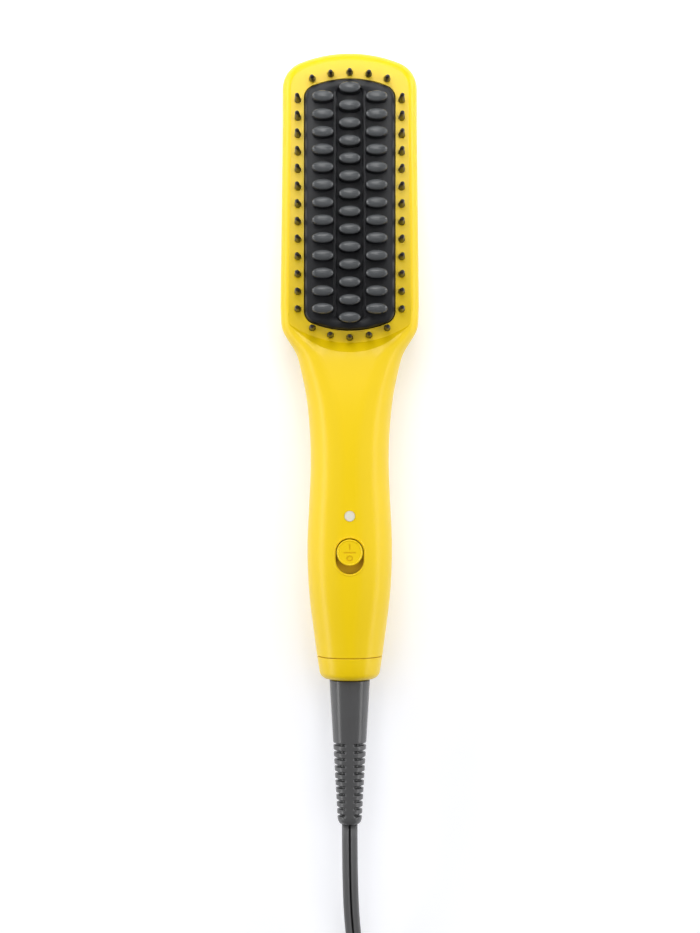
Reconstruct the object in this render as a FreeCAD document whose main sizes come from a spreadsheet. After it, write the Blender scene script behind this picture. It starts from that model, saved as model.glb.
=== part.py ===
"""Hair straightening brush with a heated comb plate, a slide switch and a swivelling cord.

The brush lies on its back. X runs across it, Y along it towards the head and Z up through the bristles.
The origin is on the floor, under the middle of the brush from its crown to the tip of the strain relief.
Lengths are millimetres and angles are degrees.
"""

import FreeCAD
import Part
import Sketcher

import math
import os
from collections import namedtuple

Vector = FreeCAD.Vector

# Driving dimensions, each one set by itself.
SIZES = {
    # Overall lengths along the brush
    "body_length": 235.1,
    "relief_length": 54.9,
    "crown_length": 27.0,
    "head_length": 95.0,
    "shoulder_share": 0.4407,
    "grip_share": 0.228,
    "cap_length": 8.9,
    # Outline and section of the housing
    "head_width": 52.0,
    "crown_width": 50.4,
    "crown_radius": 50.0,
    "crown_corner_radius": 10.5,
    "head_height": 22.0,
    "face_trim": 0.2,
    "back_edge_radius": 8.0,
    "face_edge_radius": 4.5,
    "waist_width": 29.4,
    "waist_rise": 1.0,
    "grip_width": 31.8,
    "grip_height": 29.0,
    "grip_lift": 0.1,
    "grip_edge_radius": 13.2,
    "tail_radius": 12.35,
    "axis_height": 14.5,
    "parting_height": 13.0,
    "wall": 2.0,
    "fit_gap": 0.15,
    # Step between the flat face of the head and the raised handle
    "step_setback": 108.8,
    "step_radius": 40.0,
    # Heater plate, its comb teeth and their pads
    "plate_setback": 57.1,
    "plate_width": 33.5,
    "plate_length": 93.6,
    "plate_end_radius": 37.0,
    "plate_corner_radius": 4.5,
    "plate_gap": 0.4,
    "plate_rise": 2.2,
    "flange_width": 2.6,
    "flange_thickness": 1.8,
    "tooth_pitch": 6.54,
    "tooth_column_spacing": 9.95,
    "tooth_length": 7.3,
    "tooth_width": 3.3,
    "tooth_height": 7.8,
    "pad_overhang": 0.3,
    "pad_thickness": 1.3,
    "pad_bevel": 0.7,
    "pad_crown_share": 0.65,
    # Bristle ring
    "ring_thickness": 1.8,
    "ring_margin": 2.4,
    "bristle_column": 19.4,
    "bristle_pitch": 6.51,
    "bristle_height": 14.5,
    "bristle_root_radius": 1.2,
    "bristle_tip_radius": 0.75,
    "bristle_gap": 0.15,
    "crown_bristle_setback": 7.7,
    "crown_bristle_radius": 42.0,
    "crown_bristle_angle": 9.7,
    "crown_bristle_lean": 1.3,
    "step_bristle_margin": 2.0,
    "step_bristle_radius": 29.0,
    "step_bristle_angle": 14.4,
    # Heater stack behind the plate
    "carrier_width": 44.8,
    "carrier_length": 92.0,
    "carrier_thickness": 2.0,
    "carrier_window_width": 26.0,
    "carrier_window_length": 78.0,
    "carrier_corner_radius": 4.0,
    "element_width": 24.0,
    "element_length": 23.0,
    "element_spacing": 25.0,
    "element_thickness": 2.6,
    "insulation_thickness": 0.4,
    "clamp_width": 34.0,
    "clamp_length": 84.0,
    "clamp_thickness": 1.0,
    "clamp_screw_x": 15.0,
    "clamp_screw_margin": 5.0,
    "screw_radius": 1.0,
    "screw_head_radius": 1.9,
    "screw_head_height": 1.3,
    "screw_gap": 0.1,
    "clamp_screw_bite": 1.6,
    "thermistor_radius": 1.2,
    "thermistor_length": 8.0,
    "thermal_fuse_radius": 2.0,
    "thermal_fuse_length": 11.0,
    "sensor_spacing": 8.0,
    "head_post_x": 20.0,
    "head_post_y": 36.0,
    "head_post_radius": 2.4,
    "shield_width": 32.0,
    "shield_length": 72.0,
    "shield_thickness": 0.5,
    # Control board and what it carries
    "board_width": 18.0,
    "board_thickness": 1.6,
    "board_height": 10.0,
    "board_gap": 3.95,
    "board_margin": 6.0,
    "component_gap": 3.0,
    "board_post_x": 6.2,
    "board_post_margin": 5.0,
    "board_post_radius": 2.2,
    "board_screw_bite": 4.0,
    "switch_width": 8.0,
    "switch_length": 12.0,
    "switch_drop": 4.6,
    "lever_width": 2.4,
    "lever_length": 2.0,
    "lever_height": 4.0,
    "lever_gap": 0.1,
    "triac_width": 10.0,
    "triac_length": 4.5,
    "triac_headroom": 3.4,
    "capacitor_width": 11.0,
    "capacitor_length": 8.0,
    "capacitor_height": 9.0,
    "chip_width": 6.0,
    "chip_length": 9.0,
    "chip_height": 1.6,
    "lead_radius": 0.9,
    "lead_spacing": 4.0,
    "lead_lap": 4.0,
    # Indicator light and slide button
    "button_share": 0.3009,
    "button_radius": 5.05,
    "button_rise": 1.3,
    "button_bevel": 0.6,
    "slot_gap": 0.2,
    "slide_travel": 2.9,
    "slider_width": 13.5,
    "slider_cover": 0.6,
    "slider_drop": 4.4,
    "slider_thickness": 1.2,
    "slide_gap": 0.3,
    "rail_width": 1.2,
    "rail_depth": 1.0,
    "fork_width": 4.0,
    "fork_prong": 1.5,
    "fork_depth": 2.6,
    "led_gap": 1.9,
    "led_radius": 1.5,
    "led_height": 5.0,
    "lens_radius": 1.9,
    "lens_rise": 0.2,
    "lens_flange_radius": 2.8,
    "lens_flange_thickness": 1.0,
    "lens_gap": 0.1,
    # Cord swivel in the end cap
    "seam_gap": 0.3,
    "seam_depth": 0.45,
    "cap_end_radius": 11.0,
    "cap_edge_radius": 3.2,
    "cap_end_wall": 2.5,
    "cap_spigot_length": 4.0,
    "cap_bore_radius": 8.4,
    "swivel_neck_radius": 5.0,
    "swivel_gap": 0.35,
    "swivel_flange_radius": 8.0,
    "swivel_flange_thickness": 2.0,
    "retainer_thickness": 1.5,
    "rotor_radius": 4.6,
    "rotor_length": 19.3,
    "slip_ring_radius": 6.0,
    "slip_ring_width": 2.5,
    "slip_ring_inset": 2.0,
    "slip_ring_spacing": 4.5,
    "contact_gap": 0.15,
    "contact_thickness": 0.8,
    "contact_width": 2.0,
    "contact_length": 6.0,
    "holder_width": 9.0,
    "holder_length": 9.0,
    "holder_thickness": 2.5,
    # Strain relief
    "relief_base_radius": 7.65,
    "relief_knee_radius": 6.3,
    "relief_knee_reach": 23.6,
    "relief_end_radius": 4.7,
    "relief_tip_radius": 3.3,
    "relief_tip_length": 3.5,
    "groove_reach": 24.0,
    "groove_pitch": 2.68,
    "groove_width": 0.95,
    "groove_depth": 1.0,
    "spine_width": 3.5,
    # Flat twin cord, its hank, tie and plug
    "cord_width": 5.9,
    "cord_thickness": 3.4,
    "hank_start": 93.0,
    "hank_length": 115.0,
    "hank_radius": 27.0,
    "hank_height": 17.7,
    "hank_band": 10.2,
    "tie_width": 9.0,
    "tie_thickness": 1.2,
    "plug_width": 25.0,
    "plug_height": 15.0,
    "plug_length": 24.0,
    "plug_neck_width": 10.0,
    "plug_neck_length": 10.0,
    "blade_spacing": 12.7,
    "blade_thickness": 1.5,
    "blade_width": 6.4,
    "blade_length": 16.0,
}

# Places that follow from the driving dimensions.
PLACES = {
    "crown_y": "(Size.body_length + Size.relief_length) / 2",
    "tip_y": "-crown_y",
    "cap_end_y": "crown_y - Size.body_length",
    "seam_y": "cap_end_y + Size.cap_length",
    "crown_end_y": "crown_y - Size.crown_length",
    "head_end_y": "crown_y - Size.head_length",
    "handle_length": "head_end_y - seam_y",
    "waist_y": "head_end_y - Size.shoulder_share * handle_length",
    "grip_y": "waist_y - Size.grip_share * handle_length",
    "step_y": "crown_y - Size.step_setback",
    "plate_y": "crown_y - Size.plate_setback",
    "ceiling_z": "Size.head_height - Size.wall",
    "ring_z": "ceiling_z - Size.ring_thickness",
    "flange_z": "ring_z - Size.flange_thickness",
    "plate_top_z": "Size.head_height + Size.plate_rise",
    "tooth_top_z": "plate_top_z + Size.tooth_height",
    "bristle_tip_z": "Size.head_height + Size.bristle_height",
    "carrier_z": "flange_z - Size.carrier_thickness",
    "element_z": "flange_z - Size.element_thickness",
    "insulation_z": "element_z - Size.insulation_thickness",
    "clamp_z": "insulation_z - Size.clamp_thickness",
    "clamp_screw_y": "Size.clamp_length / 2 - Size.clamp_screw_margin",
    "cap_inner_y": "cap_end_y + Size.cap_end_wall",
    "flange_y": "cap_inner_y + Size.swivel_gap",
    "rotor_y": "flange_y + Size.swivel_flange_thickness",
    "retainer_y": "rotor_y + Size.swivel_gap",
    "rotor_end_y": "rotor_y + Size.rotor_length",
    "board_top_z": "Size.board_height + Size.board_thickness",
    "button_y": "seam_y + Size.button_share * handle_length",
    "slot_radius": "Size.button_radius + Size.slot_gap",
    "slider_z": "Size.grip_height - Size.slider_drop",
    "slider_top_z": "slider_z + Size.slider_thickness",
    "slider_half": "slot_radius + Size.slide_travel + Size.slider_cover",
    "switch_top_z": "slider_z - Size.switch_drop",
    "led_y": "button_y + slider_half + Size.lens_flange_radius + Size.led_gap",
    "capacitor_y": "led_y + Size.led_radius + Size.capacitor_length / 2 + Size.component_gap",
    "triac_y": "capacitor_y + (Size.capacitor_length + Size.triac_length) / 2 + Size.component_gap",
    "triac_top_z": "Size.grip_height - Size.wall - Size.triac_headroom",
    "chip_y": "triac_y + (Size.triac_length + Size.chip_length) / 2 + Size.component_gap",
    "board_low_y": "rotor_end_y + Size.board_gap",
    "board_high_y": "chip_y + Size.chip_length / 2 + Size.board_margin",
    "board_length": "board_high_y - board_low_y",
    "board_y": "(board_low_y + board_high_y) / 2",
    "board_post_y": "board_length / 2 - Size.board_post_margin",
    "lens_flange_z": "Size.grip_height - Size.wall - Size.lens_flange_thickness - 4 * Size.lens_gap",
    "contact_z": "Size.axis_height - Size.slip_ring_radius - Size.contact_gap - Size.contact_thickness",
    "holder_z": "contact_z - Size.holder_thickness",
    "hank_y": "tip_y - Size.hank_start - Size.hank_length / 2",
}

SIDE_COUNT = 13
CENTRE_COUNT = 14
END_BRISTLES = 5
GROOVE_COUNT = 11
ELEMENT_COUNT = 3
TOOTH_SIDES = 12
BRISTLE_SIDES = 8

# Shape of the housing between its named sections: (share of the length, share of the step in size).
SHOULDER = (
    (0.0, 1.0), (0.08, 0.985), (0.155, 0.93), (0.215, 0.77), (0.30, 0.50),
    (0.40, 0.34), (0.52, 0.205), (0.70, 0.075), (1.0, 0.0),
)
GRIP = ((0.5, 0.42), (1.0, 1.0))
TAIL = ((0.30, 0.95), (0.50, 0.78), (0.72, 0.46), (1.0, 0.0))
SECTION_FLAT = 0.5
INNER_EDGE_RADIUS = 1.0

# Route of the cord from the strain relief to the hank and from the hank to the plug, chosen by hand.
CORD_ROUTE = (
    (0.0, -145.0, 14.5), (0.0, -161.0, 14.5), (0.8, -185.0, 9.2), (4.0, -207.0, 4.4),
    (12.0, -226.0, 2.4), (20.5, -243.0, 2.6), (25.3, -262.0, 3.0),
)
TAIL_ROUTE = ((25.3, -330.0, 14.2), (23.6, -348.0, 11.5), (18.4, -365.0, 8.0), (18.4, -382.0, 7.5))

Station = namedtuple("Station", "y half_width low high low_radius high_radius")
End = namedtuple("End", "apex arc corner half_width")

doc = FreeCAD.newDocument("HairStraighteningBrush")
sizes = doc.addObject("Spreadsheet::Sheet", "Size")
places = doc.addObject("Spreadsheet::Sheet", "Place")
pieces = []


def fill_sheets():
    """Write the driving dimensions and the places that follow from them."""
    for row, (alias, number) in enumerate(SIZES.items(), start=1):
        sizes.set(f"A{row}", alias)
        sizes.set(f"B{row}", str(number))
        sizes.setAlias(f"B{row}", alias)
    doc.recompute()
    for row, (alias, formula) in enumerate(PLACES.items(), start=1):
        places.set(f"A{row}", alias)
        places.set(f"B{row}", f"={formula}")
        places.setAlias(f"B{row}", alias)
        doc.recompute()


def size(alias):
    """A driving dimension."""
    return float(sizes.get(alias))


def place(alias):
    """A place that follows from the driving dimensions."""
    return float(places.get(alias))


def value(expression):
    """The number that an expression stands for."""
    return float(sizes.evalExpression(expression))


def piece(label, made):
    """Keep an object of the document as a finished piece under its label."""
    made.Label = label
    pieces.append(made)
    return made


def feature(name, shape):
    """An object that holds a shape worked out from the sheets."""
    made = doc.addObject("Part::Feature", name)
    made.Shape = shape
    return made


def block(name, wide, long, high, x, y, z):
    """A box centred on x and y that stands on z. Every argument is an expression."""
    made = doc.addObject("Part::Box", name)
    made.setExpression("Length", wide)
    made.setExpression("Width", long)
    made.setExpression("Height", high)
    made.setExpression("Placement.Base.x", f"({x}) - ({wide}) / 2")
    made.setExpression("Placement.Base.y", f"({y}) - ({long}) / 2")
    made.setExpression("Placement.Base.z", z)
    return made


def post(name, radius, high, x, y, z):
    """An upright cylinder that stands on z. Every argument is an expression."""
    made = doc.addObject("Part::Cylinder", name)
    made.setExpression("Radius", radius)
    made.setExpression("Height", high)
    for axis, expression in zip("xyz", (x, y, z)):
        made.setExpression(f"Placement.Base.{axis}", expression)
    return made


def rod(name, radius, long, x, y, z):
    """A cylinder that lies along Y and starts at y. Every argument is an expression."""
    made = doc.addObject("Part::Cylinder", name)
    made.Placement = FreeCAD.Placement(Vector(), FreeCAD.Rotation(Vector(1, 0, 0), -90))
    made.setExpression("Radius", radius)
    made.setExpression("Height", long)
    for axis, expression in zip("xyz", (x, y, z)):
        made.setExpression(f"Placement.Base.{axis}", expression)
    return made


def fuse(name, *shapes):
    """Several objects joined into one."""
    made = doc.addObject("Part::MultiFuse", name)
    made.Shapes = list(shapes)
    return made


def group(name, *shapes):
    """Separate solids kept together."""
    made = doc.addObject("Part::Compound", name)
    made.Links = list(shapes)
    return made


def cut(name, base, *tools):
    """An object less its tools."""
    made = doc.addObject("Part::Cut", name)
    made.Base = base
    made.Tool = tools[0] if len(tools) == 1 else fuse(f"{name}Tools", *tools)
    return made


def common(name, first, second):
    """What two objects share."""
    made = doc.addObject("Part::Common", name)
    made.Base = first
    made.Tool = second
    return made


def corners_of(x, y):
    """The four corners of a pattern about the origin, as expressions."""
    return [(f"{side} * {x}", f"{end} * {y}") for side in (-1, 1) for end in (-1, 1)]


def profile(body, name, role, points):
    """A closed sketch in one of the body's planes, with every corner bound to two expressions."""
    sketch = body.newObject("Sketcher::SketchObject", name)
    plane = next(item for item in body.Origin.OriginFeatures if item.Role == role)
    sketch.AttachmentSupport = [(plane, "")]
    sketch.MapMode = "FlatFace"
    corners = [Vector(value(across), value(along), 0) for across, along in points]
    for start, end in zip(corners, corners[1:] + corners[:1]):
        sketch.addGeometry(Part.LineSegment(start, end))
    count = len(points)
    for index in range(count):
        sketch.addConstraint(Sketcher.Constraint("Coincident", index, 2, (index + 1) % count, 1))
    for index, (corner, bound) in enumerate(zip(corners, points)):
        for kind, number, expression in zip(("DistanceX", "DistanceY"), corner, bound):
            if expression == "0":
                axis = -1 if kind == "DistanceY" else -2
                sketch.addConstraint(Sketcher.Constraint("PointOnObject", index, 1, axis))
                continue
            held = sketch.addConstraint(Sketcher.Constraint(kind, -1, 1, index, 1, number))
            sketch.setExpression(f"Constraints[{held}]", expression)
    return sketch


def turned(name, points, y="0", x="0", z="Size.axis_height"):
    """A body turned about its own Y axis from a profile of (place along Y, radius) corners."""
    body = doc.addObject("PartDesign::Body", name)
    outline = profile(body, f"{name}Profile", "YZ_Plane", points)
    turn = body.newObject("PartDesign::Revolution", f"{name}Turn")
    turn.Profile = outline
    turn.ReferenceAxis = (outline, ["H_Axis"])
    turn.Angle = 360.0
    body.Tip = turn
    for axis, expression in zip("xyz", (x, y, z)):
        body.setExpression(f"Placement.Base.{axis}", expression)
    doc.recompute()
    return body


def padded(name, points, high, z):
    """A body padded up from a profile of (x, y) corners."""
    body = doc.addObject("PartDesign::Body", name)
    outline = profile(body, f"{name}Profile", "XY_Plane", points)
    pad = body.newObject("PartDesign::Pad", f"{name}Pad")
    pad.Profile = outline
    pad.setExpression("Length", high)
    body.Tip = pad
    body.setExpression("Placement.Base.z", z)
    doc.recompute()
    return body


def rectangle(half_x, half_y, y):
    """Corners of a rectangle about (0, y), as expressions."""
    return [(f"{i} * ({half_x})", f"({y}) + {j} * ({half_y})") for i, j in ((-1, -1), (1, -1), (1, 1), (-1, 1))]


def round_edges(body, name, radius, chosen):
    """Fillet the edges of a body that a test chooses."""
    base = body.Tip
    edges = [f"Edge{index}" for index, edge in enumerate(base.Shape.Edges, start=1) if chosen(edge)]
    fillet = body.newObject("PartDesign::Fillet", name)
    fillet.Base = (base, edges)
    fillet.setExpression("Radius", radius)
    body.Tip = fillet
    doc.recompute()
    return body


def corner_points(end, side, z):
    """Centre of an end's right corner arc, and the point where it touches the end arc."""
    hub = Vector(0, end.apex - side * end.arc, z)
    x = end.half_width - end.corner
    rise = math.sqrt((end.arc - end.corner) ** 2 - x ** 2)
    centre = hub + Vector(x, side * rise, 0)
    touch = hub + (centre - hub).normalize() * end.arc
    return centre, touch


def outer_tangent(low, low_radius, high, high_radius):
    """Touch points of the line that runs up the right of two circles."""
    between = high - low
    angle = math.atan2(between.y, between.x) - math.acos((low_radius - high_radius) / between.Length)
    normal = Vector(math.cos(angle), math.sin(angle), 0)
    return low + normal * low_radius, high + normal * high_radius


def arc_about(centre, start, end):
    """The short arc about a centre from one point to another."""
    radius = (start - centre).Length
    middle = ((start - centre) + (end - centre)).normalize() * radius
    return Part.Arc(start, centre + middle, end).toShape()


def flip(point):
    """A point mirrored across the middle of the brush."""
    return Vector(-point.x, point.y, point.z)


def face_outline(foot, crown, z):
    """Outline symmetric about X=0 with an arc across each end and rounded corners.

    The foot is an End, or a plain (y, half width) pair for an outline that is cut square.
    """
    crown_centre, crown_touch = corner_points(crown, 1, z)
    square = not isinstance(foot, End)
    if square:
        foot_centre = Vector(foot[1], foot[0], z)
        foot_radius = 0.0
    else:
        foot_centre, foot_touch = corner_points(foot, -1, z)
        foot_radius = foot.corner
    low, high = outer_tangent(foot_centre, foot_radius, crown_centre, crown.corner)
    apex = Vector(0, crown.apex, z)
    edges = [
        Part.makeLine(low, high),
        arc_about(crown_centre, high, crown_touch),
        Part.Arc(crown_touch, apex, flip(crown_touch)).toShape(),
        arc_about(flip(crown_centre), flip(crown_touch), flip(high)),
        Part.makeLine(flip(high), flip(low)),
    ]
    if square:
        edges.append(Part.makeLine(flip(low), low))
    else:
        edges.append(arc_about(flip(foot_centre), flip(low), flip(foot_touch)))
        edges.append(Part.Arc(flip(foot_touch), Vector(0, foot.apex, z), foot_touch).toShape())
        edges.append(arc_about(foot_centre, foot_touch, low))
    return Part.Wire(edges)


def prism(wire, high):
    """A flat outline raised into a solid."""
    return Part.Face(wire).extrude(Vector(0, 0, high))


def plate_outline(grow, z):
    """Outline of the heater plate, grown by an even margin."""
    half = size("plate_length") / 2 + grow
    arc = size("plate_end_radius") + grow
    corner = size("plate_corner_radius") + grow
    half_width = size("plate_width") / 2 + grow
    foot = End(place("plate_y") - half, arc, corner, half_width)
    crown = End(place("plate_y") + half, arc, corner, half_width)
    return face_outline(foot, crown, z)


def ring_outline(grow, z):
    """Outer outline of the bristle ring, grown by an even margin."""
    margin = size("ring_margin") + grow
    half_width = size("bristle_column") + margin
    corner = size("plate_corner_radius") + margin
    crown = End(crown_bristle_apex() + margin, size("crown_bristle_radius") + margin, corner, half_width)
    foot = End(step_bristle_apex() - margin, size("step_bristle_radius") + margin, corner, half_width)
    return face_outline(foot, crown, z)


def crown_bristle_apex():
    """Y of the middle bristle at the crown."""
    return place("crown_y") - size("crown_bristle_setback")


def step_bristle_apex():
    """Y of the middle bristle by the step."""
    return place("step_y") + size("step_bristle_margin")


def bristle_rows():
    """Foot points of the bristles in each row: two straight columns and an arc across each end."""
    rows = {"left": [], "right": [], "crown": [], "step": []}
    for row in range(SIDE_COUNT):
        y = place("plate_y") + (row - (SIDE_COUNT - 1) / 2) * size("bristle_pitch")
        rows["left"].append((-size("bristle_column"), y))
        rows["right"].append((size("bristle_column"), y))
    arcs = (
        ("crown", crown_bristle_apex(), size("crown_bristle_radius"), size("crown_bristle_angle"), 1),
        ("step", step_bristle_apex(), size("step_bristle_radius"), size("step_bristle_angle"), -1),
    )
    for name, apex, radius, pitch, side in arcs:
        for index in range(END_BRISTLES):
            angle = math.radians((index - (END_BRISTLES - 1) / 2) * pitch)
            rows[name].append((radius * math.sin(angle), apex - side * radius * (1 - math.cos(angle))))
    return rows


def tooth_columns():
    """The three columns of comb teeth: name, x and the Y of each tooth."""
    columns = []
    spacing = size("tooth_column_spacing")
    for name, x, count in (("left", -spacing, SIDE_COUNT), ("centre", 0.0, CENTRE_COUNT),
                           ("right", spacing, SIDE_COUNT)):
        rows = [place("plate_y") + (row - (count - 1) / 2) * size("tooth_pitch") for row in range(count)]
        columns.append((name, x, rows))
    return columns


def oval(x, y, z, long, wide, sides):
    """Corners of a many-sided oval, long across the brush."""
    turns = [2 * math.pi * (index + 0.5) / sides for index in range(sides)]
    return [Vector(x + long / 2 * math.cos(turn), y + wide / 2 * math.sin(turn), z) for turn in turns]


def flat_face(corners):
    """The flat face between some corners."""
    return Part.Face(Part.makePolygon(corners + corners[:1]))


def stacked(levels):
    """A solid with flat sides between similar many-sided outlines, from the lowest to the highest."""
    faces = [flat_face(levels[0][::-1]), flat_face(levels[-1])]
    for low, high in zip(levels, levels[1:]):
        low_next, high_next = low[1:] + low[:1], high[1:] + high[:1]
        faces += [flat_face(list(corners)) for corners in zip(low, low_next, high_next, high)]
    shell = Part.Shell(faces)
    shell.sewShape()
    return Part.makeSolid(shell)


def section_strips(station):
    """Control points of the eight strips round a section: four flats and four round edges."""
    y, half, low, high, low_radius, high_radius = station

    def at(x, z):
        return Vector(x, y, z)

    low_x, high_x = half - low_radius, half - high_radius
    low_z, high_z = low + low_radius, high - high_radius
    return [
        [at(-low_x, low), at(low_x, low)],
        [at(low_x, low), at(half, low), at(half, low_z)],
        [at(half, low_z), at(half, high_z)],
        [at(half, high_z), at(half, high), at(high_x, high)],
        [at(high_x, high), at(-high_x, high)],
        [at(-high_x, high), at(-half, high), at(-half, high_z)],
        [at(-half, high_z), at(-half, low_z)],
        [at(-half, low_z), at(-half, low), at(-low_x, low)],
    ]


def strip_face(strips, steps):
    """One face along the housing: flat or exactly round across, and smooth along."""
    degree = len(strips[0]) - 1
    if degree == 1 and len(strips) == 2:
        return flat_face(strips[0] + strips[1][::-1])
    weights = (1.0, 1.0) if degree == 1 else (1.0, math.sqrt(0.5), 1.0)
    rows = []
    for points in zip(*strips):
        curve = Part.BSplineCurve()
        curve.interpolate(Points=list(points), Parameters=steps)
        rows.append(curve.getPoles())
    surface = Part.BSplineSurface()
    surface.buildFromPolesMultsKnots(
        rows, [degree + 1, degree + 1], curve.getMultiplicities(), [0.0, 1.0], curve.getKnots(),
        False, False, degree, curve.Degree, [[weight] * len(rows[0]) for weight in weights])
    return surface.toShape()


def skin(stations):
    """A solid through rounded sections, smooth along the housing and closed flat at both ends."""
    steps = [stations[0].y - station.y for station in stations]
    strips = [section_strips(station) for station in stations]
    faces = [strip_face(strip, steps) for strip in zip(*strips)]
    ends = []
    for section, end in ((strips[0], steps[0]), (strips[-1], steps[-1])):
        rims = [Part.makeLine(*strip) if len(strip) == 2 else face.Surface.vIso(end).toShape()
                for strip, face in zip(section, faces)]
        ends.append(Part.Face(Part.Wire(Part.sortEdges(rims)[0])))
    shell = Part.Shell(faces + ends)
    shell.sewShape()
    return Part.makeSolid(shell)


def mix(first, second, share):
    """A value between two others: the first at share 0, the second at share 1."""
    return first + (second - first) * share


def handle_stations():
    """Outer sections from the crown, over the shoulder, the waist and the grip, to the seam of the cap.

    The head is a little too high here, until its flat face is trimmed.
    """
    crown = Station(place("crown_end_y"), size("crown_width") / 2, 0.0, size("head_height") + size("face_trim"),
                    size("back_edge_radius"), size("face_edge_radius"))
    head = crown._replace(y=place("head_end_y"), half_width=size("head_width") / 2)
    waist = Station(place("waist_y"), size("waist_width") / 2, size("waist_rise"), size("grip_height"),
                    size("grip_edge_radius"), size("grip_edge_radius"))
    grip = Station(place("grip_y"), size("grip_width") / 2, size("grip_lift"), size("grip_height"),
                   size("grip_edge_radius"), size("grip_edge_radius"))
    axis, radius = size("axis_height"), size("tail_radius")
    tail = Station(place("seam_y"), radius, axis - radius, axis + radius, radius, radius)
    stations = [crown]
    for first, last, shares in (
        (waist, head, [(1 - along, share) for along, share in SHOULDER]),
        (waist, grip, GRIP),
        (tail, grip, [(1 - along, share) for along, share in TAIL]),
    ):
        for along, share in shares:
            mixed = [mix(a, b, share) for a, b in zip(first[1:], last[1:])]
            stations.append(limited(Station(mix(first.y, last.y, along), *mixed)))
    return stations


def limited(station):
    """A station whose edge radii leave a little flat on every side."""
    room = min(station.half_width, (station.high - station.low) / 2) - SECTION_FLAT
    return station._replace(low_radius=min(station.low_radius, room), high_radius=min(station.high_radius, room))


def inset_station(station):
    """The inner section at a station: a wall further in, and below the flat face of the head."""
    wall = size("wall")
    rise = max(0.0, place("step_y") - station.y)
    inner = station._replace(
        half_width=station.half_width - wall,
        low=station.low + wall,
        high=min(station.high - wall, place("ceiling_z") + rise),
        low_radius=max(station.low_radius - wall, INNER_EDGE_RADIUS),
        high_radius=max(station.high_radius - wall, INNER_EDGE_RADIUS),
    )
    return limited(inner)


def crown_solid(inset, low, high, low_radius, high_radius):
    """The crown of the head, with rounded back and face edges."""
    half_width = size("crown_width") / 2 - inset
    crown = End(place("crown_y") - inset, size("crown_radius") - inset, size("crown_corner_radius") - inset,
                half_width)
    foot_y = place("crown_end_y")
    solid = prism(face_outline((foot_y, half_width), crown, low), high - low)
    for level, radius in ((low, low_radius), (high, high_radius)):
        rim = [edge for edge in solid.Edges
               if all(abs(vertex.Z - level) < 1e-6 for vertex in edge.Vertexes)
               and edge.CenterOfMass.y > foot_y + 1e-3]
        solid = solid.makeFillet(radius, rim)
    return solid


def housing(stations, inset):
    """One solid through all sections: the crown, the straight taper of the head and the curved handle."""
    return crown_solid(inset, *stations[0][2:]).fuse([skin(stations[:2]), skin(stations[1:])])


def outer_housing():
    """Outside of the housing, from the crown to the seam of the cap."""
    return housing(handle_stations(), 0.0)


def inner_housing():
    """Hollow of the housing, open at the seam of the cap."""
    stations = [inset_station(station) for station in handle_stations()]
    stations.append(stations[-1]._replace(y=stations[-1].y - size("wall")))
    return housing(stations, size("wall"))


def step_cutter():
    """What is cleared above the flat face of the head, down to a sloped wall along the step's arc."""
    reach = size("grip_height")
    half_width = size("head_width")
    wires = []
    for rise in (0.0, reach):
        apex = place("step_y") - rise
        radius = size("step_radius") + rise
        hub = Vector(0, apex + radius, size("head_height") + rise)
        ends = math.radians(60)
        right = hub + Vector(radius * math.sin(ends), -radius * math.cos(ends), 0)
        top = Vector(half_width + reach, place("crown_y") + reach, hub.z)
        wires.append(Part.Wire([
            Part.Arc(flip(right), Vector(0, apex, hub.z), right).toShape(),
            Part.makeLine(right, top),
            Part.makeLine(top, flip(top)),
            Part.makeLine(flip(top), flip(right)),
        ]))
    return Part.makeLoft(wires, True, True)


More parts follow.
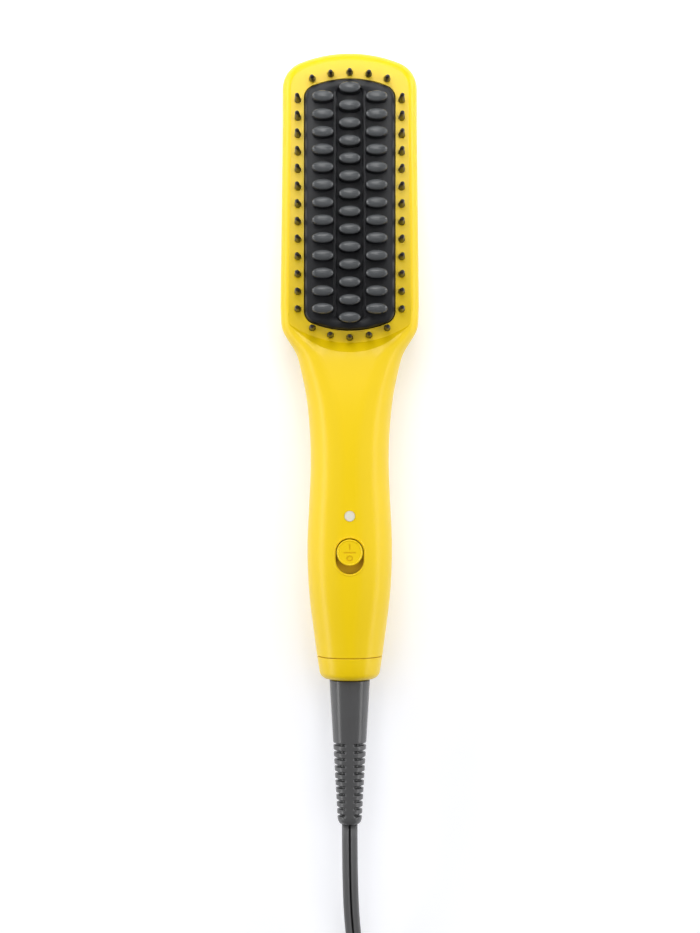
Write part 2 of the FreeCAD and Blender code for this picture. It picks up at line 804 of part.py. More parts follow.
def make_shells():
    """Front and rear shell, split at the parting plane."""
    outer = feature("HousingOuter", outer_housing())
    inner = feature("HousingInner", inner_housing())
    wall = cut("HousingWall", outer, inner)
    room = ("2 * Size.head_width", "2 * Size.body_length", "2 * Size.grip_height", "0", "0")
    front_half = common("FrontHalf", wall, block("AboveParting", *room, "Size.parting_height"))
    rear_half = common("RearHalf", wall,
                       block("BelowParting", *room, "Size.parting_height - 2 * Size.grip_height"))

    rail_x = "(Size.slider_width + Size.rail_width) / 2 + Size.slide_gap"
    rail_z = "Place.slider_z - Size.rail_depth"
    rails = [block(f"SlideRail{index}", "Size.rail_width", "2 * Place.slider_half + Size.slide_travel",
                   f"Size.grip_height - ({rail_z})", f"{side} * ({rail_x})",
                   "Place.button_y - Size.slide_travel / 2", rail_z)
             for index, side in enumerate((-1, 1))]
    rails_in = common("SlideRailsTrimmed", outer, fuse("SlideRails", *rails))

    seat_low = place("ceiling_z") - size("wall") * 3
    hole = 2 * (size("bristle_root_radius") + size("bristle_gap"))
    hole_levels = (seat_low, size("head_height") + size("wall"))
    holes = [stacked([oval(x, y, z, hole, hole, BRISTLE_SIDES) for z in hole_levels])
             for spots in bristle_rows().values() for x, y in spots]
    slot_parts = [post(f"SlotEnd{index}", "Place.slot_radius", "Size.grip_height", "0", y, "Place.slider_z")
                  for index, y in enumerate(("Place.button_y", "Place.button_y - Size.slide_travel"))]
    slot_parts.append(block("SlotMiddle", "2 * Place.slot_radius", "Size.slide_travel", "Size.grip_height", "0",
                            "Place.button_y - Size.slide_travel / 2", "Place.slider_z"))
    trimmed = cut("FrontTrimmed", fuse("FrontWithRails", front_half, rails_in), feature("StepCut", step_cutter()))
    opened = cut("FrontOpened", trimmed, feature(
        "PlateOpening", prism(plate_outline(size("plate_gap"), seat_low), size("grip_height"))))
    seated = cut("FrontSeated", opened, feature(
        "RingSeat", prism(ring_outline(size("fit_gap"), seat_low), place("ceiling_z") - seat_low)))
    slotted = cut(
        "FrontSlotted", seated, fuse("ButtonSlot", *slot_parts),
        post("LensHole", "Size.lens_radius + Size.lens_gap", "Size.grip_height", "0", "Place.led_y",
             "Place.board_top_z"),
    )
    front = cut("FrontShell", slotted, feature("BristleHoles", Part.makeCompound(holes)))
    piece("front_shell", front)

    head_posts = [post(f"HeadPost{index}", "Size.head_post_radius", "Place.carrier_z", x, f"Place.plate_y + {y}", "0")
                  for index, (x, y) in enumerate(corners_of("Size.head_post_x", "Size.head_post_y"))]
    board_posts = [post(f"BoardPost{index}", "Size.board_post_radius", "Size.board_height", x,
                        f"Place.board_y + {y}", "0")
                   for index, (x, y) in enumerate(corners_of("Size.board_post_x", "Place.board_post_y"))]
    holder_post = block("HolderPost", "Size.holder_width", "Size.holder_length", "Place.holder_z", "0",
                        "Place.rotor_end_y - Size.slip_ring_inset - Size.holder_length / 2", "0")
    posts_in = common("RearPostsTrimmed", outer, fuse("RearPosts", *head_posts, *board_posts, holder_post))
    bores = [post(f"BoardBore{index}", "Size.screw_radius + Size.screw_gap",
                  "Size.board_screw_bite + Size.screw_gap", x, f"Place.board_y + {y}",
                  "Size.board_height - Size.board_screw_bite - Size.screw_gap")
             for index, (x, y) in enumerate(corners_of("Size.board_post_x", "Place.board_post_y"))]
    piece("rear_shell", cut("RearShell", fuse("RearWithPosts", rear_half, posts_in), *bores))


def make_heater_plate():
    """Heater plate with its flange and comb teeth, and the pads on the teeth."""
    base = prism(plate_outline(0.0, place("flange_z")), place("plate_top_z") - place("flange_z"))
    flange = prism(plate_outline(size("flange_width"), place("flange_z")), size("flange_thickness"))
    teeth = []
    for name, x, rows in tooth_columns():
        pads = []
        for y in rows:
            long, wide = size("tooth_length"), size("tooth_width")
            teeth.append(stacked([oval(x, y, z, long, wide, TOOTH_SIDES)
                                  for z in (place("plate_top_z"), place("tooth_top_z"))]))
            pads.append(pad_solid(x, y))
        piece(f"pad_tips_{name}", feature(f"PadTips{name.title()}", Part.makeCompound(pads)))
    piece("heater_plate", feature("HeaterPlate", base.fuse([flange] + teeth)))


def pad_solid(x, y):
    """Pad on top of one tooth: an oval with a bevelled crown."""
    z = place("tooth_top_z")
    over = 2 * size("pad_overhang")
    long, wide = size("tooth_length") + over, size("tooth_width") + over
    crown = size("pad_crown_share")
    top = z + size("pad_thickness")
    return stacked([
        oval(x, y, z, long, wide, TOOTH_SIDES),
        oval(x, y, top - size("pad_bevel"), long, wide, TOOTH_SIDES),
        oval(x, y, top, crown * long, crown * wide, TOOTH_SIDES),
    ])


def make_bristle_frame():
    """Moulded ring behind the face, and the bristles that stand on it through their holes."""
    ring = prism(ring_outline(0.0, place("ring_z")), size("ring_thickness"))
    window = prism(plate_outline(size("plate_gap"), place("ring_z")), size("ring_thickness"))
    piece("bristle_frame", feature("BristleFrame", ring.cut(window)))
    root, tip = 2 * size("bristle_root_radius"), 2 * size("bristle_tip_radius")
    for name, spots in bristle_rows().items():
        lean = size("crown_bristle_lean") if name == "crown" else 0.0
        bristles = [stacked([oval(x, y, place("ceiling_z"), root, root, BRISTLE_SIDES),
                             oval(x, y - lean, place("bristle_tip_z"), tip, tip, BRISTLE_SIDES)])
                    for x, y in spots]
        piece(f"bristles_{name}", feature(f"Bristles{name.title()}", Part.makeCompound(bristles)))


def make_heater_stack():
    """Carrier, heating elements, clamp and sensors behind the heater plate."""
    carrier = padded("Carrier", rectangle("Size.carrier_width / 2", "Size.carrier_length / 2", "Place.plate_y"),
                     "Size.carrier_thickness", "Place.carrier_z")
    round_edges(carrier, "CarrierCorners", "Size.carrier_corner_radius",
                lambda edge: abs(edge.tangentAt(edge.FirstParameter).z) > 0.9)
    window = block("CarrierWindow", "Size.carrier_window_width", "Size.carrier_window_length",
                   "Size.carrier_thickness", "0", "Place.plate_y", "Place.carrier_z")
    spots = [(x, f"Place.plate_y + {y}") for x, y in corners_of("Size.clamp_screw_x", "Place.clamp_screw_y")]
    bosses = [post(f"ClampBoss{index}", "Size.screw_head_radius", "Place.carrier_z - Place.insulation_z", x, y,
                   "Place.insulation_z") for index, (x, y) in enumerate(spots)]
    bores = [post(f"ClampBore{index}", "Size.screw_radius + Size.screw_gap",
                  "Size.clamp_screw_bite + Size.screw_gap", x, y, "Place.insulation_z")
             for index, (x, y) in enumerate(spots)]
    piece("plate_carrier", cut("PlateCarrier", fuse("CarrierWithBosses", carrier, *bosses), window, *bores))

    elements = [block(f"Element{index}", "Size.element_width", "Size.element_length", "Size.element_thickness", "0",
                      f"Place.plate_y + {index - (ELEMENT_COUNT - 1) / 2} * Size.element_spacing",
                      "Place.element_z") for index in range(ELEMENT_COUNT)]
    piece("heating_elements", group("HeatingElements", *elements))
    piece("insulation_sheet", block("InsulationSheet", "Size.element_width",
                                    f"{ELEMENT_COUNT - 1} * Size.element_spacing + Size.element_length",
                                    "Size.insulation_thickness", "0", "Place.plate_y", "Place.insulation_z"))
    clamp = block("ClampSheet", "Size.clamp_width", "Size.clamp_length", "Size.clamp_thickness", "0",
                  "Place.plate_y", "Place.clamp_z")
    holes = [post(f"ClampHole{index}", "Size.screw_radius + Size.screw_gap", "Size.clamp_thickness", x, y,
                  "Place.clamp_z") for index, (x, y) in enumerate(spots)]
    piece("heater_clamp", cut("HeaterClamp", clamp, *holes))
    screws = [upward_screw(f"ClampScrew{index}", x, y, "Place.clamp_z",
                           "Size.clamp_thickness + Size.clamp_screw_bite")
              for index, (x, y) in enumerate(spots)]
    piece("clamp_screws", group("ClampScrews", *screws))

    piece("thermistor", rod("Thermistor", "Size.thermistor_radius", "Size.thermistor_length",
                            "-Size.sensor_spacing / 2", "Place.plate_y - Size.thermistor_length / 2",
                            "Place.clamp_z - Size.thermistor_radius"))
    piece("thermal_fuse", rod("ThermalFuse", "Size.thermal_fuse_radius", "Size.thermal_fuse_length",
                              "Size.sensor_spacing / 2", "Place.plate_y - Size.thermal_fuse_length / 2",
                              "Place.clamp_z - Size.thermal_fuse_radius"))
    piece("heat_shield", block("HeatShield", "Size.shield_width", "Size.shield_length", "Size.shield_thickness",
                               "0", "Place.plate_y", "Size.wall"))
    lead_y = "Place.board_high_y - Size.lead_lap"
    leads = [rod(f"HeaterLead{index}", "Size.lead_radius",
                 f"Place.plate_y - Size.clamp_length / 2 - ({lead_y})", f"{side} * Size.lead_spacing / 2", lead_y,
                 "Place.board_top_z + Size.lead_radius") for index, side in enumerate((-1, 1))]
    piece("heater_leads", group("HeaterLeads", *leads))


def upward_screw(name, x, y, head_top, shank):
    """A screw driven upwards, with the top face of its head at a given height."""
    head = post(f"{name}Head", "Size.screw_head_radius", "Size.screw_head_height", x, y,
                f"{head_top} - Size.screw_head_height")
    return fuse(name, head, post(f"{name}Shank", "Size.screw_radius", shank, x, y, head_top))


def make_control_board():
    """Control board on its posts, with the switch, the light and the power parts."""
    spots = [(x, f"Place.board_y + {y}") for x, y in corners_of("Size.board_post_x", "Place.board_post_y")]
    sheet = block("BoardSheet", "Size.board_width", "Place.board_length", "Size.board_thickness", "0",
                  "Place.board_y", "Size.board_height")
    holes = [post(f"BoardHole{index}", "Size.screw_radius + Size.screw_gap", "Size.board_thickness", x, y,
                  "Size.board_height") for index, (x, y) in enumerate(spots)]
    piece("control_board", cut("ControlBoard", sheet, *holes))
    screws = []
    for index, (x, y) in enumerate(spots):
        head = post(f"BoardScrew{index}Head", "Size.screw_head_radius", "Size.screw_head_height", x, y,
                    "Place.board_top_z")
        shank = post(f"BoardScrew{index}Shank", "Size.screw_radius",
                     "Size.board_thickness + Size.board_screw_bite", x, y,
                     "Size.board_height - Size.board_screw_bite")
        screws.append(fuse(f"BoardScrew{index}", head, shank))
    piece("board_screws", group("BoardScrews", *screws))
    piece("switch_body", block("SwitchBody", "Size.switch_width", "Size.switch_length",
                               "Place.switch_top_z - Place.board_top_z", "0",
                               "Place.button_y - Size.slide_travel / 2", "Place.board_top_z"))
    piece("power_triac", block("PowerTriac", "Size.triac_width", "Size.triac_length",
                               "Place.triac_top_z - Place.board_top_z", "0", "Place.triac_y",
                               "Place.board_top_z"))
    piece("supply_capacitor", block("SupplyCapacitor", "Size.capacitor_width", "Size.capacitor_length",
                                    "Size.capacitor_height", "0", "Place.capacitor_y",
                                    "Place.board_top_z"))
    piece("control_chip", block("ControlChip", "Size.chip_width", "Size.chip_length", "Size.chip_height", "0",
                                "Place.chip_y", "Place.board_top_z"))
    piece("indicator_led", post("IndicatorLed", "Size.led_radius", "Size.led_height", "0", "Place.led_y",
                                "Place.board_top_z"))
    pipe_z = "Place.board_top_z + Size.led_height + Size.lens_gap"
    stem = post("LensStem", "Size.lens_radius", f"Size.grip_height + Size.lens_rise - ({pipe_z})", "0",
                "Place.led_y", pipe_z)
    collar = post("LensCollar", "Size.lens_flange_radius", "Size.lens_flange_thickness", "0", "Place.led_y",
                  "Place.lens_flange_z")
    piece("led_lens", fuse("LedLens", stem, collar))


def make_slide_switch():
    """Slide button with its cover plate and fork, and the switch lever between the prongs."""
    cover = block("SliderCover", "Size.slider_width", "2 * Place.slider_half", "Size.slider_thickness", "0",
                  "Place.button_y", "Place.slider_z")
    cap_high = "Size.grip_height + Size.button_rise - Place.slider_top_z"
    stem = post("ButtonStem", "Size.button_radius", f"{cap_high} - Size.button_bevel", "0", "Place.button_y",
                "Place.slider_top_z")
    bevel = doc.addObject("Part::Cone", "ButtonBevel")
    bevel.setExpression("Radius1", "Size.button_radius")
    bevel.setExpression("Radius2", "Size.button_radius - Size.button_bevel")
    bevel.setExpression("Height", "Size.button_bevel")
    bevel.setExpression("Placement.Base.y", "Place.button_y")
    bevel.setExpression("Placement.Base.z", "Size.grip_height + Size.button_rise - Size.button_bevel")
    reach = "(Size.lever_length + Size.fork_prong) / 2 + Size.lever_gap"
    prongs = [block(f"ForkProng{index}", "Size.fork_width", "Size.fork_prong", "Size.fork_depth", "0",
                    f"Place.button_y + {side} * ({reach})", "Place.slider_z - Size.fork_depth")
              for index, side in enumerate((-1, 1))]
    piece("slide_button", fuse("SlideButton", cover, stem, bevel, *prongs))
    piece("switch_lever", block("SwitchLever", "Size.lever_width", "Size.lever_length", "Size.lever_height", "0",
                                "Place.button_y", "Place.switch_top_z + Size.lever_gap"))


def make_swivel():
    """End cap, strain relief with its flange in the cap, rotor, slip rings and their contacts."""
    cap = turned("EndCap", [
        ("Place.seam_y", "Size.tail_radius - Size.seam_depth"),
        ("Place.seam_y - Size.seam_gap", "Size.tail_radius - Size.seam_depth"),
        ("Place.seam_y - Size.seam_gap", "Size.tail_radius"),
        ("Place.cap_end_y", "Size.cap_end_radius"),
        ("Place.cap_end_y", "Size.swivel_neck_radius + Size.swivel_gap"),
        ("Place.cap_inner_y", "Size.swivel_neck_radius + Size.swivel_gap"),
        ("Place.cap_inner_y", "Size.cap_bore_radius"),
        ("Place.seam_y + Size.cap_spigot_length", "Size.cap_bore_radius"),
        ("Place.seam_y + Size.cap_spigot_length", "Size.tail_radius - Size.wall - Size.fit_gap"),
        ("Place.seam_y", "Size.tail_radius - Size.wall - Size.fit_gap"),
    ])
    end_y, end_radius = place("cap_end_y"), size("cap_end_radius")
    round_edges(cap, "CapEdge", "Size.cap_edge_radius",
                lambda edge: abs(edge.CenterOfMass.y - end_y) < 1e-3
                and abs(getattr(edge.Curve, "Radius", 0.0) - end_radius) < 1e-3)
    piece("end_cap", cap)

    relief = turned("ReliefBody", [
        ("Place.rotor_y", "0"),
        ("Place.rotor_y", "Size.swivel_flange_radius"),
        ("Place.flange_y", "Size.swivel_flange_radius"),
        ("Place.flange_y", "Size.swivel_neck_radius"),
        ("Place.cap_end_y - Size.swivel_gap", "Size.swivel_neck_radius"),
        ("Place.cap_end_y - Size.swivel_gap", "Size.relief_base_radius"),
        ("Place.cap_end_y - Size.relief_knee_reach", "Size.relief_knee_radius"),
        ("Place.tip_y + Size.relief_tip_length", "Size.relief_end_radius"),
        ("Place.tip_y", "Size.relief_tip_radius"),
        ("Place.tip_y", "0"),
    ])
    piece("strain_relief", cut("StrainRelief", relief, feature("ReliefGrooves", relief_grooves())))

    piece("swivel_retainer", turned("SwivelRetainer", [
        ("Place.retainer_y", "Size.rotor_radius + Size.swivel_gap"),
        ("Place.retainer_y", "Size.cap_bore_radius"),
        ("Place.retainer_y + Size.retainer_thickness", "Size.cap_bore_radius"),
        ("Place.retainer_y + Size.retainer_thickness", "Size.rotor_radius + Size.swivel_gap"),
    ]))
    piece("swivel_rotor", rod("SwivelRotor", "Size.rotor_radius", "Size.rotor_length", "0", "Place.rotor_y",
                              "Size.axis_height"))
    rings, contacts = [], []
    for index in range(2):
        far = f"Place.rotor_end_y - Size.slip_ring_inset - {index} * Size.slip_ring_spacing"
        outside = rod(f"SlipRing{index}Outside", "Size.slip_ring_radius", "Size.slip_ring_width", "0",
                      f"{far} - Size.slip_ring_width", "Size.axis_height")
        inside = rod(f"SlipRing{index}Inside", "Size.rotor_radius", "Size.slip_ring_width", "0",
                     f"{far} - Size.slip_ring_width", "Size.axis_height")
        rings.append(cut(f"SlipRing{index}", outside, inside))
        contacts.append(block(f"Contact{index}", "Size.contact_length", "Size.contact_width",
                              "Size.contact_thickness", "0", f"{far} - Size.slip_ring_width / 2",
                              "Place.contact_z"))
    piece("slip_rings", group("SlipRings", *rings))
    piece("contact_springs", group("ContactSprings", *contacts))
    piece("contact_holder", block("ContactHolder", "Size.holder_width", "Size.holder_length",
                                  "Size.holder_thickness", "0",
                                  "Place.rotor_end_y - Size.slip_ring_inset - Size.holder_length / 2",
                                  "Place.holder_z"))


def relief_grooves():
    """Grooves round both sides of the strain relief, between the smooth spines at its top and bottom."""
    base, axis = size("relief_base_radius"), size("axis_height")
    knee_y = place("cap_end_y") - size("relief_knee_reach")
    end_y = place("tip_y") + size("relief_tip_length")
    rings = []
    for index in range(GROOVE_COUNT):
        low_y = place("cap_end_y") - size("groove_reach") - index * size("groove_pitch") - size("groove_width")
        share = (knee_y - low_y) / (knee_y - end_y)
        floor = mix(size("relief_knee_radius"), size("relief_end_radius"), share) - size("groove_depth")
        centre = Vector(0, low_y, axis)
        outside = Part.makeCylinder(base, size("groove_width"), centre, Vector(0, 1, 0))
        rings.append(outside.cut(Part.makeCylinder(floor, size("groove_width"), centre, Vector(0, 1, 0))))
    spine = Part.makeBox(size("spine_width"), size("relief_length"), 2 * base,
                         Vector(-size("spine_width") / 2, place("tip_y"), axis - base))
    return Part.makeCompound(rings).cut(spine)


def rounded_route(points):
    """Straight runs joined by tangent arcs, each arc as large as its two runs allow."""
    spots = [Vector(*point) for point in points]
    edges, start = [], spots[0]
    for before, corner, after in zip(spots, spots[1:], spots[2:]):
        back, ahead = before - corner, after - corner
        half_turn = (math.pi - back.getAngle(ahead)) / 2
        trim = 0.45 * min(back.Length, ahead.Length)
        radius = trim / math.tan(half_turn)
        print(f"cord bend radius {radius:.1f} mm")
        inward = (back.normalize() + ahead.normalize()).normalize()
        middle = corner + inward * (radius / math.cos(half_turn) - radius)
        first, last = corner + back * trim, corner + ahead * trim
        edges += [Part.makeLine(start, first), Part.Arc(first, middle, last).toShape()]
        start = last
    edges.append(Part.makeLine(start, spots[-1]))
    return Part.Wire(edges)


def cord_section(start, ahead):
    """Flat section of the twin cord, wide side level, square to the start of its route."""
    half, radius = (size("cord_width") - size("cord_thickness")) / 2, size("cord_thickness") / 2
    across = Vector(0, 0, 1).cross(ahead).normalize()
    up = ahead.cross(across).normalize()
    left, right = start - across * half, start + across * half
    return Part.Wire([
        Part.makeLine(left - up * radius, right - up * radius),
        Part.Arc(right - up * radius, right + across * radius, right + up * radius).toShape(),
        Part.makeLine(right + up * radius, left + up * radius),
        Part.Arc(left + up * radius, left - across * radius, left - up * radius).toShape(),
    ])


def cord_tube(points):
    """The flat cord along a route, its wide side kept level."""
    route = rounded_route(points)
    start, ahead = Vector(*points[0]), (Vector(*points[1]) - Vector(*points[0])).normalize()
    tube = route.makePipe(Part.Face(cord_section(start, ahead)))
    flat = size("cord_width") - size("cord_thickness")
    area = flat * size("cord_thickness") + math.pi * size("cord_thickness") ** 2 / 4
    print(f"cord volume {tube.Volume:.1f} of {area * route.Length:.1f} mm3 over {route.Length:.1f} mm")
    return tube


def stadium(radius, half_length, y, z, high):
    """An upright solid with straight sides along Y and round ends."""
    straight = half_length - radius
    left, right = Vector(-radius, y, z), Vector(radius, y, z)
    along = Vector(0, straight, 0)
    wire = Part.Wire([
        Part.makeLine(right - along, right + along),
        Part.Arc(right + along, Vector(0, y + half_length, z), left + along).toShape(),
        Part.makeLine(left + along, left - along),
        Part.Arc(left - along, Vector(0, y - half_length, z), right - along).toShape(),
    ])
    return prism(wire, high)


def make_cord():
    """Cord to the hank, the tied hank, and the short end with the plug."""
    y, high, half = place("hank_y"), size("hank_height"), size("hank_length") / 2
    outer = stadium(size("hank_radius"), half, y, 0.0, high)
    band = size("hank_band")
    hank = outer.cut(stadium(size("hank_radius") - band, half - band, y, 0.0, high))
    piece("cord", feature("Cord", cord_tube(CORD_ROUTE).cut(outer)))
    piece("cord_hank", feature("CordHank", hank))
    piece("cord_tail", feature("CordTail", cord_tube(TAIL_ROUTE).cut(outer)))

    thick = "Size.tie_thickness"
    tie_x = "Size.hank_radius - Size.hank_band / 2"
    around = block("TieOutside", f"Size.hank_band + 2 * {thick}", "Size.tie_width", f"Size.hank_height + {thick}",
                   tie_x, "Place.hank_y", "0")
    within = block("TieInside", "Size.hank_band", "Size.tie_width", "Size.hank_height", tie_x, "Place.hank_y", "0")
    piece("cord_tie", cut("CordTie", around, within))

    end = TAIL_ROUTE[-1]
    neck_wide, neck_long = size("plug_neck_width"), size("plug_neck_length")
    middle = size("plug_height") / 2
    wires = []
    for along, wide, tall in ((0.0, neck_wide, neck_wide), (neck_long, size("plug_width") * 0.8, middle * 1.7),
                              (neck_long + size("plug_length"), size("plug_width"), size("plug_height"))):
        wires.append(Part.makePolygon([Vector(end[0] + i * wide / 2, end[1] - along, middle + j * tall / 2)
                                       for i, j in ((-1, -1), (1, -1), (1, 1), (-1, 1), (-1, -1))]))
    piece("plug_body", feature("PlugBody", Part.makeLoft(wires, True, True)))
    front_y = f"{end[1]} - Size.plug_neck_length - Size.plug_length - Size.blade_length / 2"
    blades = [block(f"PlugBlade{index}", "Size.blade_thickness", "Size.blade_length", "Size.blade_width",
                    f"{end[0]} + {side} * Size.blade_spacing / 2", front_y,
                    "(Size.plug_height - Size.blade_width) / 2") for index, side in enumerate((-1, 1))]
    piece("plug_blades", group("PlugBlades", *blades))


def check():
    """Stop if any object failed, or any piece has no valid solid."""
    failed = [item.Name for item in doc.Objects if {"Invalid", "Error"} & set(item.State)]
    bad = [made.Label for made in pieces
           if made.Shape.isNull() or not made.Shape.isValid() or not made.Shape.Solids]
    if failed or bad:
        raise RuntimeError(f"objects failed: {failed}, pieces without a valid solid: {bad}")


def export():
    """Write every piece to its own file."""
    os.makedirs("parts", exist_ok=True)
    for made in pieces:
        made.Shape.exportStep(os.path.join("parts", f"{made.Label}.step"))
        print(f"{made.Label}: {len(made.Shape.Solids)} solids, {made.Shape.Volume:.1f} mm3")


fill_sheets()
make_shells()
make_heater_plate()
make_bristle_frame()
make_heater_stack()
make_control_board()
make_slide_switch()
make_swivel()
make_cord()
doc.recompute()
check()
export()
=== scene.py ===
"""Looks of a yellow hair straightening brush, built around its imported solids.

The brush lies on its back. X runs across it, Y along it towards the head and Z up through the bristles.
Sizes are written in millimetres and become metres where a mesh is made. Lights are placed in metres.
"""

from __future__ import annotations

import logging
import math
from dataclasses import dataclass, field
from enum import Enum
from typing import Any, Callable, Iterable, Sequence

import bmesh
import bpy
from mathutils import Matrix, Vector
from mathutils.bvhtree import BVHTree

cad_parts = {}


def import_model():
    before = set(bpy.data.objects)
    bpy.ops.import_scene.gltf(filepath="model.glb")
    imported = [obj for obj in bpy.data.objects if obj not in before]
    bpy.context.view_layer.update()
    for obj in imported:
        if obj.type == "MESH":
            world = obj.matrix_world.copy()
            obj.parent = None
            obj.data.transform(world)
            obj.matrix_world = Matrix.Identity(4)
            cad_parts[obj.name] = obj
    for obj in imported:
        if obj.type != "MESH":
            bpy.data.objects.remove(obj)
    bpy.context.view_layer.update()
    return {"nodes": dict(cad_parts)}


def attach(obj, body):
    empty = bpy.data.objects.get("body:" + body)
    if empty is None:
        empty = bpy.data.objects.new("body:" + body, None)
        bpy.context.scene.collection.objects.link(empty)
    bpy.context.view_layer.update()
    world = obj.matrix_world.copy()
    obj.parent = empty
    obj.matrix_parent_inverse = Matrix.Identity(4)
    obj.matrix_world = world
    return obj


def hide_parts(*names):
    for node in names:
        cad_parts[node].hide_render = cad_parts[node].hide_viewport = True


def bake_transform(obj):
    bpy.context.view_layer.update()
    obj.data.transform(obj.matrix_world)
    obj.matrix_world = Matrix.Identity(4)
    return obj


MM = 0.001
# Height of the axis that the strain relief turns about, and the middles of the plate and the button along the brush.
AXIS_Z = 14.5
PLATE_Y = 87.9
BUTTON_Y = -41.72
# Radius of the ring that closes the pole of a turned shape.
POLE = 0.02
# Name of the point attribute that sets how much painted shade darkens each point of a groove.
GROOVE_SHADE = "groove"
# Colour sockets of a Mix node, which has others of the same names.
MIX_A, MIX_B, MIX_RESULT = 6, 7, 2
LOG = logging.getLogger("brush")

Piece = bpy.types.Object
Socket = bpy.types.NodeSocket
Ring = list[Vector]
Point2 = tuple[float, float]
Point3 = tuple[float, float, float]


class Body(str, Enum):
    """The rigid bodies that a piece can ride on."""

    HOUSING = "housing"
    SLIDER = "slider"
    SWIVEL = "swivel"


def linear(code: str) -> tuple[float, float, float, float]:
    """Turn an sRGB hex code into a linear colour.

    Args:
        code: Colour such as "#EFD015".

    Returns:
        Red, green, blue and alpha.
    """
    channels = []
    for start in (1, 3, 5):
        share = int(code[start:start + 2], 16) / 255
        channels.append(share / 12.92 if share <= 0.04045 else ((share + 0.055) / 1.055) ** 2.4)
    return (*channels, 1.0)


def add_node(tree: bpy.types.NodeTree, kind: str, inputs: dict[Any, Any] | None = None,
             **settings: Any) -> bpy.types.Node:
    """Add a node with its settings, plain inputs and links.

    Args:
        tree: Tree that gets the node.
        kind: Type name of the node.
        inputs: Input name or number to a value, or to an output socket that is linked to it.
        **settings: Properties of the node.

    Returns:
        The new node.
    """
    node = tree.nodes.new(kind)
    for name, value in settings.items():
        setattr(node, name, value)
    for name, value in (inputs or {}).items():
        if isinstance(value, Socket):
            tree.links.new(value, node.inputs[name])
        else:
            node.inputs[name].default_value = value
    return node


def add_object(name: str, data: bpy.types.ID) -> Piece:
    """Link a new object at the origin.

    Args:
        name: Name of the piece.
        data: Its mesh, curve, light or camera.

    Returns:
        The new object.
    """
    made = bpy.data.objects.new(name, data)
    bpy.context.scene.collection.objects.link(made)
    return made


def arc(centre: Point2, radius: float, start: float, end: float, steps: int, offset: float = 0.0) -> list[Point2]:
    """Points along an arc, one for each of its parts.

    Args:
        centre: Its centre.
        radius: Its radius.
        start: Direction that it starts in, in radians.
        end: Direction that it ends in.
        steps: Parts that it is divided into.
        offset: Share of a part that each point lies beyond the part's start.

    Returns:
        The points, in order.
    """
    turns = [start + (end - start) * (step + offset) / steps for step in range(steps)]
    return [(centre[0] + radius * math.cos(turn), centre[1] + radius * math.sin(turn)) for turn in turns]


def circle(count: int, offset: float = 0.0) -> list[Point2]:
    """Cosine and sine of evenly spaced directions all round."""
    return arc((0.0, 0.0), 1.0, 0.0, 2 * math.pi, count, offset)


def oblong(half_x: float, half_y: float, corner: float, count: int) -> list[Point2]:
    """Points round an oblong with rounded corners.

    Args:
        half_x: Half its width.
        half_y: Half its length.
        corner: Radius of its corners.
        count: How many points there are, a quarter of them at each corner.

    Returns:
        The points, anticlockwise.
    """
    return [(math.copysign(half_x - corner, x) + corner * x, math.copysign(half_y - corner, y) + corner * y)
            for x, y in circle(count, 0.5)]


def fuller(share: float, power: float) -> float:
    """Swell a cosine or sine: a power of 2 keeps an ellipse, and more gives it fuller sides."""
    return math.copysign(abs(share) ** (2 / power), share)


def ease(value: float) -> float:
    """Go from 0 to 1 with level ends, and stay there outside."""
    share = min(1.0, max(0.0, value))
    return share * share * (3 - 2 * share)


def headings(points: Sequence[Vector]) -> list[Vector]:
    """Direction of a line at each of its points."""
    ends = [points[0], *points, points[-1]]
    return [(after - before).normalized() for before, after in zip(ends, ends[2:])]


def rounded(corners: Sequence[Point3], steps: int = 6) -> list[Point2]:
    """Round the corners of an open line.

    Args:
        corners: Two coordinates and a radius for each corner.
        steps: Parts that each round corner is divided into.

    Returns:
        Points of the rounded line.
    """
    line: list[Point2] = []
    for index, (x, y, radius) in enumerate(corners):
        if radius == 0 or index in (0, len(corners) - 1):
            line.append((x, y))
            continue
        here = Vector((x, y))
        back = (Vector(corners[index - 1][:2]) - here).normalized()
        ahead = (Vector(corners[index + 1][:2]) - here).normalized()
        half = back.angle(ahead) / 2
        centre = here + (back + ahead).normalized() * radius / math.sin(half)
        start = here + back * radius / math.tan(half) - centre
        end = here + ahead * radius / math.tan(half) - centre
        for step in range(steps + 1):
            spoke = start.slerp(end, step / steps) * radius
            line.append((centre.x + spoke.x, centre.y + spoke.y))
    return line


def turned(profile: Iterable[Point2], count: int) -> list[Ring]:
    """Turn a profile about the long axis of the brush.

    Args:
        profile: Place along Y and radius of each ring, in millimetres.
        count: Points round each ring.

    Returns:
        Rings of points in metres.
    """
    return [[Vector((radius * across, y, AXIS_Z + radius * rise)) * MM for rise, across in circle(count)]
            for y, radius in profile]


def loft(name: str, rings: Sequence[Ring], caps: bool = True, looped: bool = False, sharp: float = 50.0) -> Piece:
    """Make a piece from rings of equally many points.

    Args:
        name: Name of the piece.
        rings: Closed rings, in order.
        caps: Whether the first and last ring are filled.
        looped: Whether the last ring joins the first.
        sharp: Edges that turn by more degrees than this are shaded sharp.

    Returns:
        The new piece, with its faces outwards.
    """
    shape = bmesh.new()
    rows = [[shape.verts.new(point) for point in ring] for ring in rings]
    pairs = list(zip(rows, rows[1:]))
    if looped:
        pairs.append((rows[-1], rows[0]))
    for low, high in pairs:
        for index in range(len(low)):
            after = (index + 1) % len(low)
            shape.faces.new((low[index], low[after], high[after], high[index]))
    if caps:
        shape.faces.new(rows[0][::-1])
        shape.faces.new(rows[-1])
    bmesh.ops.remove_doubles(shape, verts=shape.verts, dist=1e-7)
    bmesh.ops.recalc_face_normals(shape, faces=shape.faces)
    mesh = bpy.data.meshes.new(name)
    shape.to_mesh(mesh)
    shape.free()
    mesh.shade_smooth()
    mesh.set_sharp_from_angle(angle=math.radians(sharp))
    return add_object(name, mesh)


